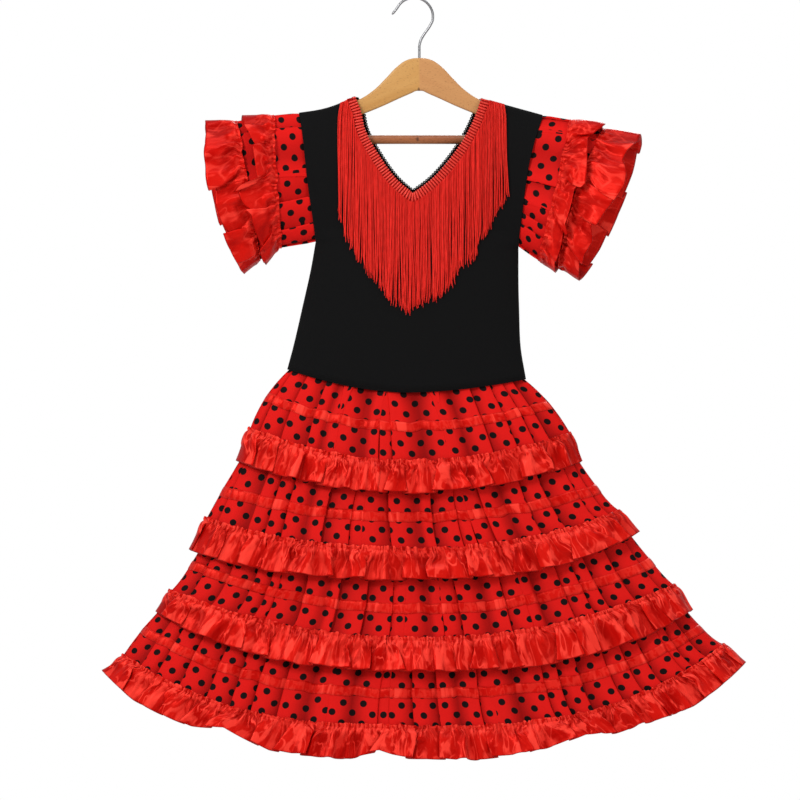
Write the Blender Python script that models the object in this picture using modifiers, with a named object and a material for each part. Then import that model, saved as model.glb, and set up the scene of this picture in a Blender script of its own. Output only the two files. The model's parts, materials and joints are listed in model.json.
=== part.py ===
"""A child's flamenco dress hung on a wooden hanger with a trouser bar.

Metres, +Z up. The front of the dress faces -Y and +X is on the right of a viewer in
front of it. The origin is where a rail carries the hook. Tables are in millimetres.
Each cloth piece is an open surface, lofted through sections, that Solidify makes a wall.
"""

import math
from collections import namedtuple

import bpy
import numpy as np
from mathutils import Vector
from mathutils.bvhtree import BVHTree

MM = 0.001
COLLECTION = "flamenco_dress"

# Walls and clearances.
KNIT = 1.4  # black stretch knit of the bodice
COTTON = 1.2  # dotted cloth of the flounces and sleeves
SATIN = 1.0  # ruffles
RIBBON = 0.8  # narrow satin bands
SEAM_GAP = 0.3  # between two pieces that meet edge to edge
LAP_GAP = 0.5  # between two pieces that lie on each other
LAP = 2.5  # how far a piece reaches under the one that it hangs from
LAP_IN = 1.0  # further in, as the lower piece slopes outwards
SIDE_TURN = 2.0  # half depth of the short turn into a side seam

# A line runs round the skirt: its side seams, its lowest point in the middle, its
# half depth from front to back, and the power of the curve between middle and sides.
Line = namedtuple("Line", "left_x left_z mid_z right_x right_z depth power")
WAIST = Line(-167, -489, -519.5, 147.5, -502, 27, 1.8)

# Each tier hangs from the line above it: a dotted flounce with a satin band across it
# (ribbon is the band's middle), and a satin ruffle from the flounce's seam to its hem.
# pleats and waves give how many there are on the front and on the back.
Tier = namedtuple("Tier", "ribbon seam hem pleats waves")
TIERS = (
    Tier(
        ribbon=Line(-195, -526, -564, 179, -536, 34, 1.9),
        seam=Line(-217, -569, -612.5, 207, -575, 41, 2.0),
        hem=Line(-235, -609, -650, 222, -609, 54, 2.0),
        pleats=(12, 7),
        waves=(11, 7),
    ),
    Tier(
        ribbon=Line(-252, -648, -682, 242, -646, 47, 2.1),
        seam=Line(-275, -688, -727, 273, -676, 53, 2.3),
        hem=Line(-297, -726, -763.5, 298, -702, 67, 2.8),
        pleats=(13, 7),
        waves=(12, 8),
    ),
    Tier(
        ribbon=Line(-294, -746, -802, 313, -743, 59, 2.1),
        seam=Line(-323, -783, -845, 345, -775, 65, 2.1),
        hem=Line(-341, -808, -884, 367, -807, 79, 2.7),
        pleats=(14, 8),
        waves=(13, 8),
    ),
    Tier(
        ribbon=Line(-357, -832, -913, 379, -830, 71, 2.6),
        seam=Line(-384, -867, -960, 410, -852, 77, 2.9),
        hem=Line(-411, -887, -1000, 438, -875, 90, 3.1),
        pleats=(15, 8),
        waves=(14, 9),
    ),
)
# How far the lowest edge is drawn up (or lies lower) along its width.
Rise = namedtuple("Rise", "u up")
LOWEST_EDGE = (
    Rise(-1.0, 0), Rise(-0.9, -5), Rise(-0.72, 2), Rise(-0.62, 16), Rise(-0.48, 1),
    Rise(-0.24, 1), Rise(-0.14, 11), Rise(-0.05, 2), Rise(0.16, 0), Rise(0.33, 6),
    Rise(0.5, 19), Rise(0.59, 10), Rise(0.68, 10), Rise(0.82, -2), Rise(1.0, 0),
)
RIBBON_WIDTH = 12.5
HEADING = 3.5  # the ruffle's gathered edge above its stitching
SIDE_INSET = 8.0  # how much narrower a flounce starts than the one above it
WAIST_INSET = 3.5
PLEAT_DEPTH = 7.0
BAND_FADE = 0.9  # share of the pleats' depth that is left under the satin band
PLEAT_FADE = 0.25  # and at the lower seam
WAVE_DEPTH = 6.0
HEADING_SWELL = 0.6  # how far a heading stands out beyond its stitching
HEM_LIFT = 2.0  # rise and fall of a ruffle's edge along its waves
# A fold's corners: the share of its width, and its offset for a depth of 1.
Corner = namedtuple("Corner", "share offset")
PLEAT_LEFT = (Corner(0.12, -1.0), Corner(0.78, 0.0))
PLEAT_RIGHT = (Corner(0.22, 0.0), Corner(0.88, -1.0))
WAVE = (Corner(0.1, 1.0), Corner(0.38, 1.0), Corner(0.6, -1.0), Corner(0.88, -1.0))
SIDE_COLUMNS = (0.95, 0.985, 1.0)  # where every layer turns round to the side
SEAM_EDGE = 1.01  # a share beyond 1 stands for the edge that is sewn
PLEATED = 0.90  # share of the width that is pleated

# Bodice sections from the waist up, one half each: the outer end lies on the side seam
# or the armhole, the inner end on the centre line or, above the V, on the neckline.
Section = namedtuple("Section", "outer_x outer_z inner_x inner_z depth")
LEFT_HALF = (
    Section(-167.0, -489, -9.6, -519.5, 27),
    Section(-158.0, -455, -8.0, -470.0, 26),
    Section(-146.5, -405, -6.0, -415.0, 25),
    Section(-136.0, -358, -4.0, -360.0, 24),
    Section(-129.5, -321, -2.5, -318.0, 23),
    Section(-131.5, -306, -2.0, -285.0, 22.5),
    Section(-134.5, -285, -1.5, -257.0, 21),
    Section(-139.5, -250, -25.0, -236.0, 20),
    Section(-143.5, -215, -47.5, -204.5, 18),
    Section(-147.0, -182, -65.0, -171.5, 14),
    Section(-150.0, -161, -71.0, -145.0, 9.5),
    Section(-151.5, -153.5, -76.3, -132.2, 7.8),
    Section(-151.8, -150.5, -77.2, -129.0, 0.45),
)
RIGHT_HALF = (
    Section(147.5, -502, -9.6, -519.5, 27),
    Section(140.5, -460, -8.0, -470.0, 26),
    Section(138.5, -412, -6.0, -415.0, 25),
    Section(137.5, -364, -4.0, -360.0, 24),
    Section(137.5, -328, -2.5, -318.0, 23),
    Section(138.9, -313, -2.0, -285.0, 22.5),
    Section(142.0, -290, -1.5, -257.0, 21),
    Section(146.5, -254, 25.5, -236.0, 20),
    Section(152.0, -218, 52.5, -204.5, 18),
    Section(160.5, -184, 73.0, -171.5, 14),
    Section(167.0, -164, 83.5, -147.0, 9.5),
    Section(169.3, -156.5, 87.6, -134.2, 7.8),
    Section(169.6, -153.4, 88.3, -131.0, 0.45),
)
ARMPIT = 4  # the section where the side seam ends and the armhole starts
NECK_POINT = 6  # the section that ends at the point of the V
ARMPIT_EASE = 0.3
ARMHOLE_DEPTH = 15.0
ARMHOLE_GAP = 0.9  # between the two edges at the armhole, which lean to each other
HALF_COLUMNS = (0.02, 0.05, 0.16, 0.36, 0.66, 1.0)

# A sleeve's rings, from the shoulder out: the top and the bottom of each, its half
# depth, and how far its middle bows outwards.
Ring = namedtuple("Ring", "top_x top_z bottom_x bottom_z depth bow")
Sleeve = namedtuple("Sleeve", "upper_seam lower_seam upper_hem lower_hem")
SLEEVES = {
    "left": Sleeve(
        upper_seam=Ring(-188, -154, -178, -329, 24, 2),
        lower_seam=Ring(-231, -164, -204, -345, 30, 4),
        upper_hem=Ring(-227, -154, -196, -351, 43, 6),
        lower_hem=Ring(-275, -161, -225, -363, 44, 15),
    ),
    "right": Sleeve(
        upper_seam=Ring(209, -160, 166, -346, 24, 2),
        lower_seam=Ring(252, -174, 193, -356, 30, 4),
        upper_hem=Ring(249, -163, 188, -361, 43, 6),
        lower_hem=Ring(299, -179, 220, -371, 44, 11),
    ),
}
SLEEVE_WAVES = 8
SLEEVE_WAVE_DEPTH = 6.0
FOLD_CROWDING = 0.22  # crowds a ruffle's columns where it turns at top and bottom
FOLD_CALM = 0.25  # share of the waves' depth that is left there

# Neck trim: a braid along the front neckline, and the fringe that hangs from it.
BRAID_WIDTH = 13.0
BRAID_STEP = 8.0
BRAID_RISE = 4.5  # how far its ends rise and turn back over the shoulders
BRAID_OVER = 3.5
BRAID_RULES = (0.0, 0.5, 1.0)  # lines across the braid's width, from its inner edge
BRAID_HOLD = 0.1  # the inner edge takes its depth from the knit this share further out
MITRE_LIMIT = 1.35  # how much further the braid's outer edge reaches at a bend
ROOT_MARGIN = 5.0  # the outermost strands' distance from the braid's ends
BRAID_THICK = 2.2
BRAID_LIFT = BRAID_THICK / 2 + LAP_GAP  # from the knit's front to the braid's middle
STRANDS = 136
STRAND_RADIUS = 0.62
STRAND_LENGTH = 144.0
STRAND_UNEVEN = 5.0
STRAND_ROOT = 2.5  # how deep a strand's root sits in the braid
FRINGE_SPREAD = (12.0, 17.0)  # how far the outermost strands swing out, left and right
STRAND_SIDES = 3
STRAND_RINGS = (0.0, 0.18, 1.0)
STRAND_CHECKS = (0.15, 0.3, 0.45, 0.6, 0.75, 0.9, 1.0)  # where it has to clear the knit
RAY_START = 200.0  # well in front of the dress
BESIDE_KNIT = 20.0  # half depth of the bodice where the trim lies
EDGING_WIDTH = 2.5  # elastic along the back neckline
EDGING_THICK = 1.2
EDGING_GAP = 0.4

# Hanger. The outline is given for one side, from its centre line.
HANGER_X = 7.0
HANGER_THICK = 12.0
HANGER_EDGE = 1.8
HANGER_OUTLINE = (
    (0, -78), (16, -80.5), (30, -90), (43, -103.5), (61, -121), (82, -134),
    (104, -141.5), (128, -150), (144, -157), (151, -166), (151, -184), (143, -194),
    (133, -190), (125, -175), (102, -162), (76, -152.5), (50, -142), (26, -131),
    (9, -123.5),
)
BAR_Z = -185.6
BAR_RADIUS = 5.8
BAR_HALF = 140.0
BAR_SIDES = 16
SOCKET_GAP = 0.3
STEM_SOCKET = 30.0  # length of the stem's socket, which starts SOCKET_SUNK under the stem
SOCKET_SUNK = 0.5
SOCKET_SIDES = 12
CREASE = math.radians(40)  # sharper edges than this stay sharp
WIRE = 1.7
STEM_Z = -91.0
STEM_TOP = -70.0
HOOK_RADIUS = 25.0
HOOK_BEND = ((7, -62), (8.5, -56), (14.5, -45), (21, -35.5))
HOOK_ARC = (-6, 152)  # degrees of the round part, from the right over the top
HOOK_STEPS = 13
HOOK_TIP = (-29, -20.5)

MATERIALS = {
    "black_knit": ((0.010, 0.010, 0.011), 0.85, 0.0),
    "dotted_cloth": ((0.66, 0.012, 0.010), 0.75, 0.0),
    "red_satin": ((0.72, 0.012, 0.010), 0.35, 0.0),
    "red_fringe": ((0.68, 0.010, 0.012), 0.55, 0.0),
    "light_wood": ((0.62, 0.33, 0.12), 0.45, 0.0),
    "dark_wood": ((0.32, 0.11, 0.05), 0.45, 0.0),
    "steel_wire": ((0.60, 0.60, 0.60), 0.25, 1.0),
}


def clear_scene():
    for old in list(bpy.data.objects):
        bpy.data.objects.remove(old)


def new_collection(name):
    made = bpy.data.collections.new(name)
    bpy.context.scene.collection.children.link(made)
    return made


def make_materials():
    for name, (colour, roughness, metallic) in MATERIALS.items():
        material = bpy.data.materials.new(name)
        material.use_nodes = True
        shader = material.node_tree.nodes["Principled BSDF"]
        shader.inputs["Base Color"].default_value = (*colour, 1.0)
        shader.inputs["Roughness"].default_value = roughness
        shader.inputs["Metallic"].default_value = metallic


def add_object(name, data, material, collection):
    made = bpy.data.objects.new(name, data)
    data.materials.append(bpy.data.materials[material])
    collection.objects.link(made)
    return made


def sheet(name, rows, thick, material, collection, closed=False):
    """An open surface through rows of points, with a Solidify wall of that thickness."""
    columns = len(rows[0])
    points = [Vector(p) * MM for row in rows for p in row]
    faces = []
    for r in range(len(rows) - 1):
        for c in range(columns if closed else columns - 1):
            after = (c + 1) % columns
            low, high = r * columns, (r + 1) * columns
            faces.append((low + c, high + c, high + after, low + after))
    return wall(name, points, faces, thick, material, collection)


def wall(name, points, faces, thick, material, collection):
    mesh = bpy.data.meshes.new(name)
    mesh.from_pydata(points, [], faces)
    mesh.shade_smooth()
    made = add_object(name, mesh, material, collection)
    solidify = made.modifiers.new("wall", "SOLIDIFY")
    solidify.thickness = thick * MM
    solidify.offset = 0.0
    return made


# ---------------------------------------------------------------- skirt


def on_line(line, u, out, face):
    """The point at share u (-1 left, 1 right) of a line; face is -1 front, 1 back."""
    half = (line.right_x - line.left_x) / 2
    middle = (line.right_x + line.left_x) / 2
    share = max(-1.0, min(1.0, u))
    round_off = math.sqrt(1 - share * share)
    depth = 0.0 if abs(u) > 1 else max(SIDE_TURN, line.depth * round_off)
    end_z = line.left_z if u < 0 else line.right_z
    normal = Vector((share / half, round_off / line.depth)).normalized()
    x = middle + half * share + normal.x * out
    y = face * (SEAM_GAP / 2 + depth + normal.y * out)
    z = line.mid_z + (end_z - line.mid_z) * abs(share) ** line.power
    return (x, y, z)


def raised(line, up, inset=0.0):
    """A line moved up the cloth, and narrower by inset at each side."""
    return line._replace(
        left_z=line.left_z + up,
        mid_z=line.mid_z + up,
        right_z=line.right_z + up,
        left_x=line.left_x + inset,
        right_x=line.right_x - inset,
    )


def uneven_ends(count, rng):
    """Ends of count folds across the pleated width, of uneven widths."""
    widths = rng.uniform(0.7, 1.3, count)
    return PLEATED * (2 * np.concatenate([[0], np.cumsum(widths)]) / widths.sum() - 1)


def with_sides(columns):
    """Adds the columns where the cloth turns round to its side seams."""
    sides = [(u, 0.0) for u in (*SIDE_COLUMNS, SEAM_EDGE)]
    return [(-u, fold) for u, fold in reversed(sides)] + columns + sides


def pleat_columns(count, rng):
    """(u, offset from 0 at a crest to -1 in a valley) for soft one-way pleats."""
    ends = uneven_ends(count, rng)
    columns = []
    for start, end in zip(ends, ends[1:]):
        deep = rng.uniform(0.7, 1.0)
        shape = PLEAT_RIGHT if rng.random() < 0.5 else PLEAT_LEFT
        columns += [(start + (end - start) * share, offset * deep) for share, offset in shape]
    return with_sides(columns)


def one_wave(start, end, out, back):
    """(share, offset) of one wave's corners between start and end."""
    return [
        (start + (end - start) * share, offset * (out if offset > 0 else back))
        for share, offset in WAVE
    ]


def wave_columns(count, rng):
    """(u, offset from -1 to 1) for a ruffle's rounded waves."""
    ends = uneven_ends(count, rng)
    columns = []
    for start, end in zip(ends, ends[1:]):
        columns += one_wave(start, end, *rng.uniform(0.55, 1.0, 2))
    return with_sides(columns)


def flounce(name, tier, above, lap_out, face, rng, collection):
    """The dotted panel of a tier. Returns its band's rows, lifted off it."""
    columns = pleat_columns(tier.pleats[face > 0], rng)
    inset = SIDE_INSET if above is not WAIST else WAIST_INSET
    lines = (
        (raised(above, LAP, inset), lap_out, 1.0),
        (raised(tier.ribbon, RIBBON_WIDTH / 2), 0.0, 1.0),
        (raised(tier.ribbon, -RIBBON_WIDTH / 2), 0.0, BAND_FADE),
        (tier.seam, 0.0, PLEAT_FADE),
    )
    rows = [
        [on_line(line, u, out + PLEAT_DEPTH * share * fold, face) for u, fold in columns]
        for line, out, share in lines
    ]
    if face > 0:
        rows = [row[::-1] for row in rows]
    panel = sheet(name, rows, COTTON, "dotted_cloth", collection)
    width = len(columns)
    lift = (COTTON + RIBBON) / 2 + LAP_GAP
    corners = panel.data.vertices
    return [
        [corners[k].co / MM + corners[k].normal * lift for k in range(start, stop)]
        for start, stop in ((width + 1, 2 * width - 1), (2 * width + 1, 3 * width - 1))
    ]


def ruffle_rows(tier, face, rng):
    """Rows of a satin ruffle's front or back: its heading, its stitching and its hem."""
    lift = (COTTON + SATIN) / 2 + LAP_GAP
    columns = wave_columns(tier.waves[face > 0], rng)[1:-1]
    lines = (
        (raised(tier.seam, HEADING), lift + HEADING_SWELL, 0.0),
        (tier.seam, lift, 0.0),
        (tier.hem, 0.0, 1.0),
    )
    rows = []
    for line, out, share in lines:
        row = []
        for u, offset in columns:
            wave = share * offset * math.sqrt(1 - u * u)
            x, y, z = on_line(line, u, out + WAVE_DEPTH * wave, face)
            if line is TIERS[-1].hem:
                z += float(np.interp(u, [r.u for r in LOWEST_EDGE], [r.up for r in LOWEST_EDGE]))
            row.append((x, y, z + HEM_LIFT * wave))
        rows.append(row if face < 0 else row[::-1])
    return rows


def make_skirt(collection):
    above = WAIST
    lap_out = -((KNIT + COTTON) / 2 + LAP_GAP + LAP_IN)
    for number, tier in enumerate(TIERS, start=1):
        rng = np.random.default_rng(number)
        front = flounce(f"flounce_{number}_front", tier, above, lap_out, -1, rng, collection)
        back = flounce(f"flounce_{number}_back", tier, above, lap_out, 1, rng, collection)
        band = [one + other for one, other in zip(front, back)]
        sheet(f"ribbon_{number}", band, RIBBON, "red_satin", collection, closed=True)
        rows = [
            one + other
            for one, other in zip(ruffle_rows(tier, -1, rng), ruffle_rows(tier, 1, rng))
        ]
        sheet(f"ruffle_{number}", rows, SATIN, "red_satin", collection, closed=True)
        above = tier.seam
        lap_out = -(COTTON + LAP_GAP + LAP_IN + PLEAT_DEPTH * PLEAT_FADE)


# ---------------------------------------------------------------- bodice


def armhole_edge_depth(sections, z):
    """Half depth of the armhole at height z, zero at the shoulder and the armpit."""
    top, bottom = sections[-1].outer_z, sections[ARMPIT].outer_z
    share = (2 * z - top - bottom) / (top - bottom)
    return ARMHOLE_DEPTH * math.sqrt(max(0.0, 1 - share * share))


def bodice_half(sections, face):
    """Rows of points from the side or armhole to the centre line or neckline."""
    rows = []
    for number, part in enumerate(sections):
        at_seam = number <= ARMPIT
        edge = 0.0 if at_seam else armhole_edge_depth(sections, part.outer_z)
        if number == ARMPIT:
            edge = ARMPIT_EASE
        if part is sections[-1]:
            edge = part.depth
        row = [(part.outer_x, face * (SEAM_GAP / 2 + edge), part.outer_z)]
        for share in HALF_COLUMNS:
            turn = share == HALF_COLUMNS[0] and at_seam
            bulge = math.sqrt(1 - (1 - share) ** 2) if at_seam else math.sin(share * math.pi / 2)
            fall = 1 - (1 - share) ** WAIST.power if number == 0 else share
            x = part.outer_x + (part.inner_x - part.outer_x) * (0.0 if turn else share)
            y = edge + (SIDE_TURN if turn else (part.depth - edge) * bulge)
            z = part.outer_z + (part.inner_z - part.outer_z) * (0.0 if turn else fall)
            row.append((x, face * (SEAM_GAP / 2 + y), z))
        rows.append(row)
    return rows


def bodice_panel(name, face, collection):
    """Two halves that share the centre line up to the point of the V."""
    left = bodice_half(LEFT_HALF, face)
    right = bodice_half(RIGHT_HALF, face)
    points, index = [], {}

    def corner(half, r, c):
        shared = c == len(HALF_COLUMNS) and r <= NECK_POINT
        key = ("centre", r) if shared else (half, r, c)
        if key not in index:
            index[key] = len(points)
            points.append(Vector((left if half == "left" else right)[r][c]) * MM)
        return index[key]

    faces = []
    for half in ("left", "right"):
        for r in range(len(left) - 1):
            for c in range(len(HALF_COLUMNS)):
                quad = [(r, c), (r, c + 1), (r + 1, c + 1), (r + 1, c)]
                turned = (half == "left") == (face < 0)
                ring = quad if turned else quad[::-1]
                faces.append([corner(half, *rc) for rc in ring])
    made = wall(name, points, faces, KNIT, "black_knit", collection)
    return made, left, right


def make_neck_edging(left, right, collection):
    """Narrow elastic that goes on from the back neckline's edge into the opening."""
    edge = [row[-1] for row in left[-2:NECK_POINT:-1]] + [row[-1] for row in right[NECK_POINT:-1]]
    line = [Vector(p) for p in edge]
    rows = [[], []]
    for k, here in enumerate(line):
        before, after = line[max(k - 1, 0)], line[min(k + 1, len(line) - 1)]
        along = (after - before).normalized()
        across = Vector((-along.z, 0, along.x))
        for row, reach in zip(rows, (EDGING_GAP, EDGING_GAP + EDGING_WIDTH)):
            row.append(here + across * reach)
    sheet("neck_edging_back", rows, EDGING_THICK, "black_knit", collection)


# ---------------------------------------------------------------- neck trim


def surface_finder(panel):
    """Returns a function: y of the panel's front at x and z, in millimetres."""
    bpy.context.view_layer.update()
    tree = BVHTree.FromObject(panel, bpy.context.evaluated_depsgraph_get())

    def front_y(x, z):
        start = Vector((x, -RAY_START, z)) * MM
        hit = tree.ray_cast(start, Vector((0, 1, 0)))[0]
        if hit is None:
            beside = Vector((x, -BESIDE_KNIT, z)) * MM
            hit = tree.find_nearest(beside)[0]
        return hit.y / MM

    return front_y


def neckline(left, right):
    """Points along the front neckline, left shoulder to V to right shoulder."""
    corners = [row[-1] for row in left[:NECK_POINT:-1]] + [row[-1] for row in right[NECK_POINT:]]
    flat = np.array([(p[0], p[2]) for p in corners])
    along = np.concatenate([[0], np.cumsum(np.linalg.norm(np.diff(flat, axis=0), axis=1))])
    spots = np.linspace(along[1], along[-2], round(along[-1] / BRAID_STEP) + 1)
    point_of_v = along[len(left) - NECK_POINT - 1]
    spots[np.abs(spots - point_of_v).argmin()] = point_of_v
    spots = np.concatenate([[0], spots, [along[-1]]])
    line = np.stack([np.interp(spots, along, flat[:, k]) for k in range(2)], axis=1)
    return [Vector(p) for p in line]


def outward_edge(line, width):
    """The line moved outwards, away from the opening, mitred at its bends."""
    moved = []
    for k, here in enumerate(line):
        before = (here - line[max(k - 1, 0)]).normalized() if k else None
        after = (line[k + 1] - here).normalized() if k < len(line) - 1 else None
        before, after = before or after, after or before
        along = (before + after).normalized()
        across = Vector((along.y, -along.x))
        mitre = min(MITRE_LIMIT, 1 / across.dot(Vector((before.y, -before.x))))
        moved.append(here + across * width * mitre)
    return moved


def strand(root, end_x, length, front_y):
    """A strand, from its root in the braid down to its loose end."""
    spots = []
    for share in STRAND_RINGS:
        x = root.x + (end_x - root.x) * (share > 0)
        spots.append((x, root.y - length * share))
    depths = [front_y(spots[-1][0], root.y - length * share) for share in STRAND_CHECKS]
    ahead = min(depths) - STRAND_RADIUS - LAP_GAP
    points, faces = [], []
    for number, (x, z) in enumerate(spots):
        y = ahead if number else front_y(x, z) - BRAID_LIFT
        for corner in range(STRAND_SIDES):
            angle = math.radians(90 + 360 / STRAND_SIDES * corner)
            side = Vector((math.cos(angle), -math.sin(angle), 0)) * STRAND_RADIUS
            points.append((Vector((x, y, z)) + side) * MM)
        if number:
            low, high = STRAND_SIDES * (number - 1), STRAND_SIDES * number
            for here in range(STRAND_SIDES):
                after = (here + 1) % STRAND_SIDES
                faces.append((low + here, low + after, high + after, high + here))
    last = STRAND_SIDES * (len(STRAND_RINGS) - 1)
    faces.append(tuple(reversed(range(STRAND_SIDES))))
    faces.append(tuple(last + here for here in range(STRAND_SIDES)))
    return points, faces


def make_fringe(panel, left, right, collection, cutters):
    """The braid with every strand's root fused into it, as one body."""
    front_y = surface_finder(panel)
    inner = neckline(left, right)
    rows = []
    for share in BRAID_RULES:
        edge = outward_edge(inner, BRAID_WIDTH * share)
        under = outward_edge(inner, BRAID_WIDTH * max(share, BRAID_HOLD))
        row = [[p.x, front_y(q.x, q.y) - BRAID_LIFT, p.y] for p, q in zip(edge, under)]
        for end, beside in ((0, 1), (-1, -2)):
            row[end][1] = row[beside][1] + BRAID_OVER
            row[end][2] += BRAID_RISE
        rows.append(row)
    braid = sheet("fringe_trim", rows, BRAID_THICK, "red_fringe", collection)

    rooted = outward_edge(inner, BRAID_WIDTH - STRAND_ROOT)
    xs = np.array([p.x for p in rooted])
    zs = np.array([p.y for p in rooted])
    rng = np.random.default_rng(7)
    roots = np.linspace(xs[0] + ROOT_MARGIN, xs[-1] - ROOT_MARGIN, STRANDS)
    points, faces = [], []
    for x in roots:
        share = (2 * x - xs[0] - xs[-1]) / (xs[-1] - xs[0])
        root = Vector((x, float(np.interp(x, xs, zs))))
        length = STRAND_LENGTH + rng.uniform(-STRAND_UNEVEN, STRAND_UNEVEN)
        spread = FRINGE_SPREAD[0] if share < 0 else FRINGE_SPREAD[1]
        end_x = x + (spread + ROOT_MARGIN) * share**3
        more, rings = strand(root, end_x, length, front_y)
        faces += [tuple(len(points) + k for k in ring) for ring in rings]
        points += more
    mesh = bpy.data.meshes.new("strands")
    mesh.from_pydata(points, [], faces)
    strands = add_object("strands", mesh, "red_fringe", cutters)
    strands.hide_render = True
    strands.display_type = "WIRE"
    fuse = braid.modifiers.new("strands", "BOOLEAN")
    fuse.operation = "UNION"
    fuse.object = strands


# ---------------------------------------------------------------- sleeves


def on_ring(ring, angle, out=0.0, along=0.0):
    """A point round a sleeve's ring: angle 0 at the top, pi at the bottom.

    out moves it away from the sleeve's axis, and along moves it towards the hand."""
    top = Vector((ring.top_x, 0, ring.top_z))
    bottom = Vector((ring.bottom_x, 0, ring.bottom_z))
    middle, reach = (top + bottom) / 2, (top - bottom) / 2
    outwards = Vector((reach.z, 0, -reach.x)).normalized()
    if outwards.x * middle.x < 0:
        outwards = -outwards
    half = reach.length
    normal = Vector((math.cos(angle) / half, math.sin(angle) / ring.depth)).normalized()
    spot = middle + reach * math.cos(angle) + reach.normalized() * normal.x * out
    spot += outwards * (ring.bow * math.sin(angle) ** 2 + along)
    spot.y = -ring.depth * math.sin(angle) - normal.y * out
    return spot


def make_sleeve(side, sleeve, sections, front, back, collection):
    """The short tube of a sleeve, whose first ring follows the bodice's armhole."""
    top, bottom = sections[-1].outer_z, sections[ARMPIT].outer_z
    out = math.copysign(ARMHOLE_GAP, sections[-1].outer_x)
    edges = [row[0] for row in front[:ARMPIT:-1]] + [row[0] for row in back[ARMPIT:-1]]
    armhole, angles = [], []
    for x, y, z in edges:
        at_fold = z in (top, bottom)
        share = (2 * z - top - bottom) / (top - bottom)
        armhole.append((x + out, 0.0 if at_fold else y, z))
        angles.append(math.copysign(math.acos(max(-1.0, min(1.0, share))), -y))
    rows = [armhole]
    rows += [[on_ring(ring, a) for a in angles] for ring in (sleeve.upper_seam, sleeve.lower_seam)]
    sheet(f"sleeve_{side}", rows, COTTON, "dotted_cloth", collection, closed=True)
    rng = np.random.default_rng(51 if side == "left" else 52)
    for part, seam, hem in (
        ("upper", sleeve.upper_seam, sleeve.upper_hem),
        ("lower", sleeve.lower_seam, sleeve.lower_hem),
    ):
        sleeve_ruffle(f"sleeve_{side}_{part}_ruffle", seam, hem, rng, collection)


def sleeve_ruffle(name, seam, hem, rng, collection):
    """A satin ruffle round a sleeve, gathered at its seam and open at its hem."""
    shares, waves = [], []
    widths = rng.uniform(0.75, 1.25, SLEEVE_WAVES)
    ends = np.concatenate([[0], np.cumsum(widths)]) / widths.sum()
    for start, end in zip(ends, ends[1:]):
        corners = one_wave(start, end, *rng.uniform(0.6, 1.0, 2))
        shares += [share for share, _ in corners]
        waves += [offset for _, offset in corners]
    angles = 2 * math.pi * np.array(shares)
    angles -= FOLD_CROWDING * np.sin(2 * angles)
    lift = (COTTON + SATIN) / 2 + LAP_GAP + HEADING_SWELL
    hem_row = []
    for angle, wave in zip(angles, waves):
        wave *= FOLD_CALM + (1 - FOLD_CALM) * abs(math.sin(angle))
        hem_row.append(on_ring(hem, angle, SLEEVE_WAVE_DEPTH * wave, HEM_LIFT * wave))
    rows = [
        [on_ring(seam, angle, lift + HEADING_SWELL, -HEADING) for angle in angles],
        [on_ring(seam, angle, lift) for angle in angles],
        hem_row,
    ]
    sheet(name, rows, SATIN, "red_satin", collection, closed=True)


# ---------------------------------------------------------------- hanger


def made_mesh(curve_object):
    """The curve's evaluated mesh in a new object, its caps welded, for a Boolean."""
    bpy.context.view_layer.update()
    graph = bpy.context.evaluated_depsgraph_get()
    mesh = bpy.data.meshes.new_from_object(curve_object.evaluated_get(graph))
    name, place = curve_object.name, curve_object.matrix_world.copy()
    collection = curve_object.users_collection[0]
    bpy.data.objects.remove(curve_object)
    made = bpy.data.objects.new(name, mesh)
    made.matrix_world = place
    collection.objects.link(made)
    weld = made.modifiers.new("weld", "WELD")
    weld.merge_threshold = 0.00005
    return made


def cylinder(name, radius, length, centre, turn, sides, collection):
    bpy.ops.mesh.primitive_cylinder_add(vertices=sides, radius=radius * MM, depth=length * MM)
    made = bpy.context.object
    made.name = name
    made.location = Vector(centre) * MM
    made.rotation_euler = turn
    for old in list(made.users_collection):
        old.objects.unlink(made)
    collection.objects.link(made)
    return made


def cut(piece, cutter):
    cutter.hide_render = True
    cutter.display_type = "WIRE"
    boolean = piece.modifiers.new(cutter.name, "BOOLEAN")
    boolean.operation = "DIFFERENCE"
    boolean.object = cutter


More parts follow.
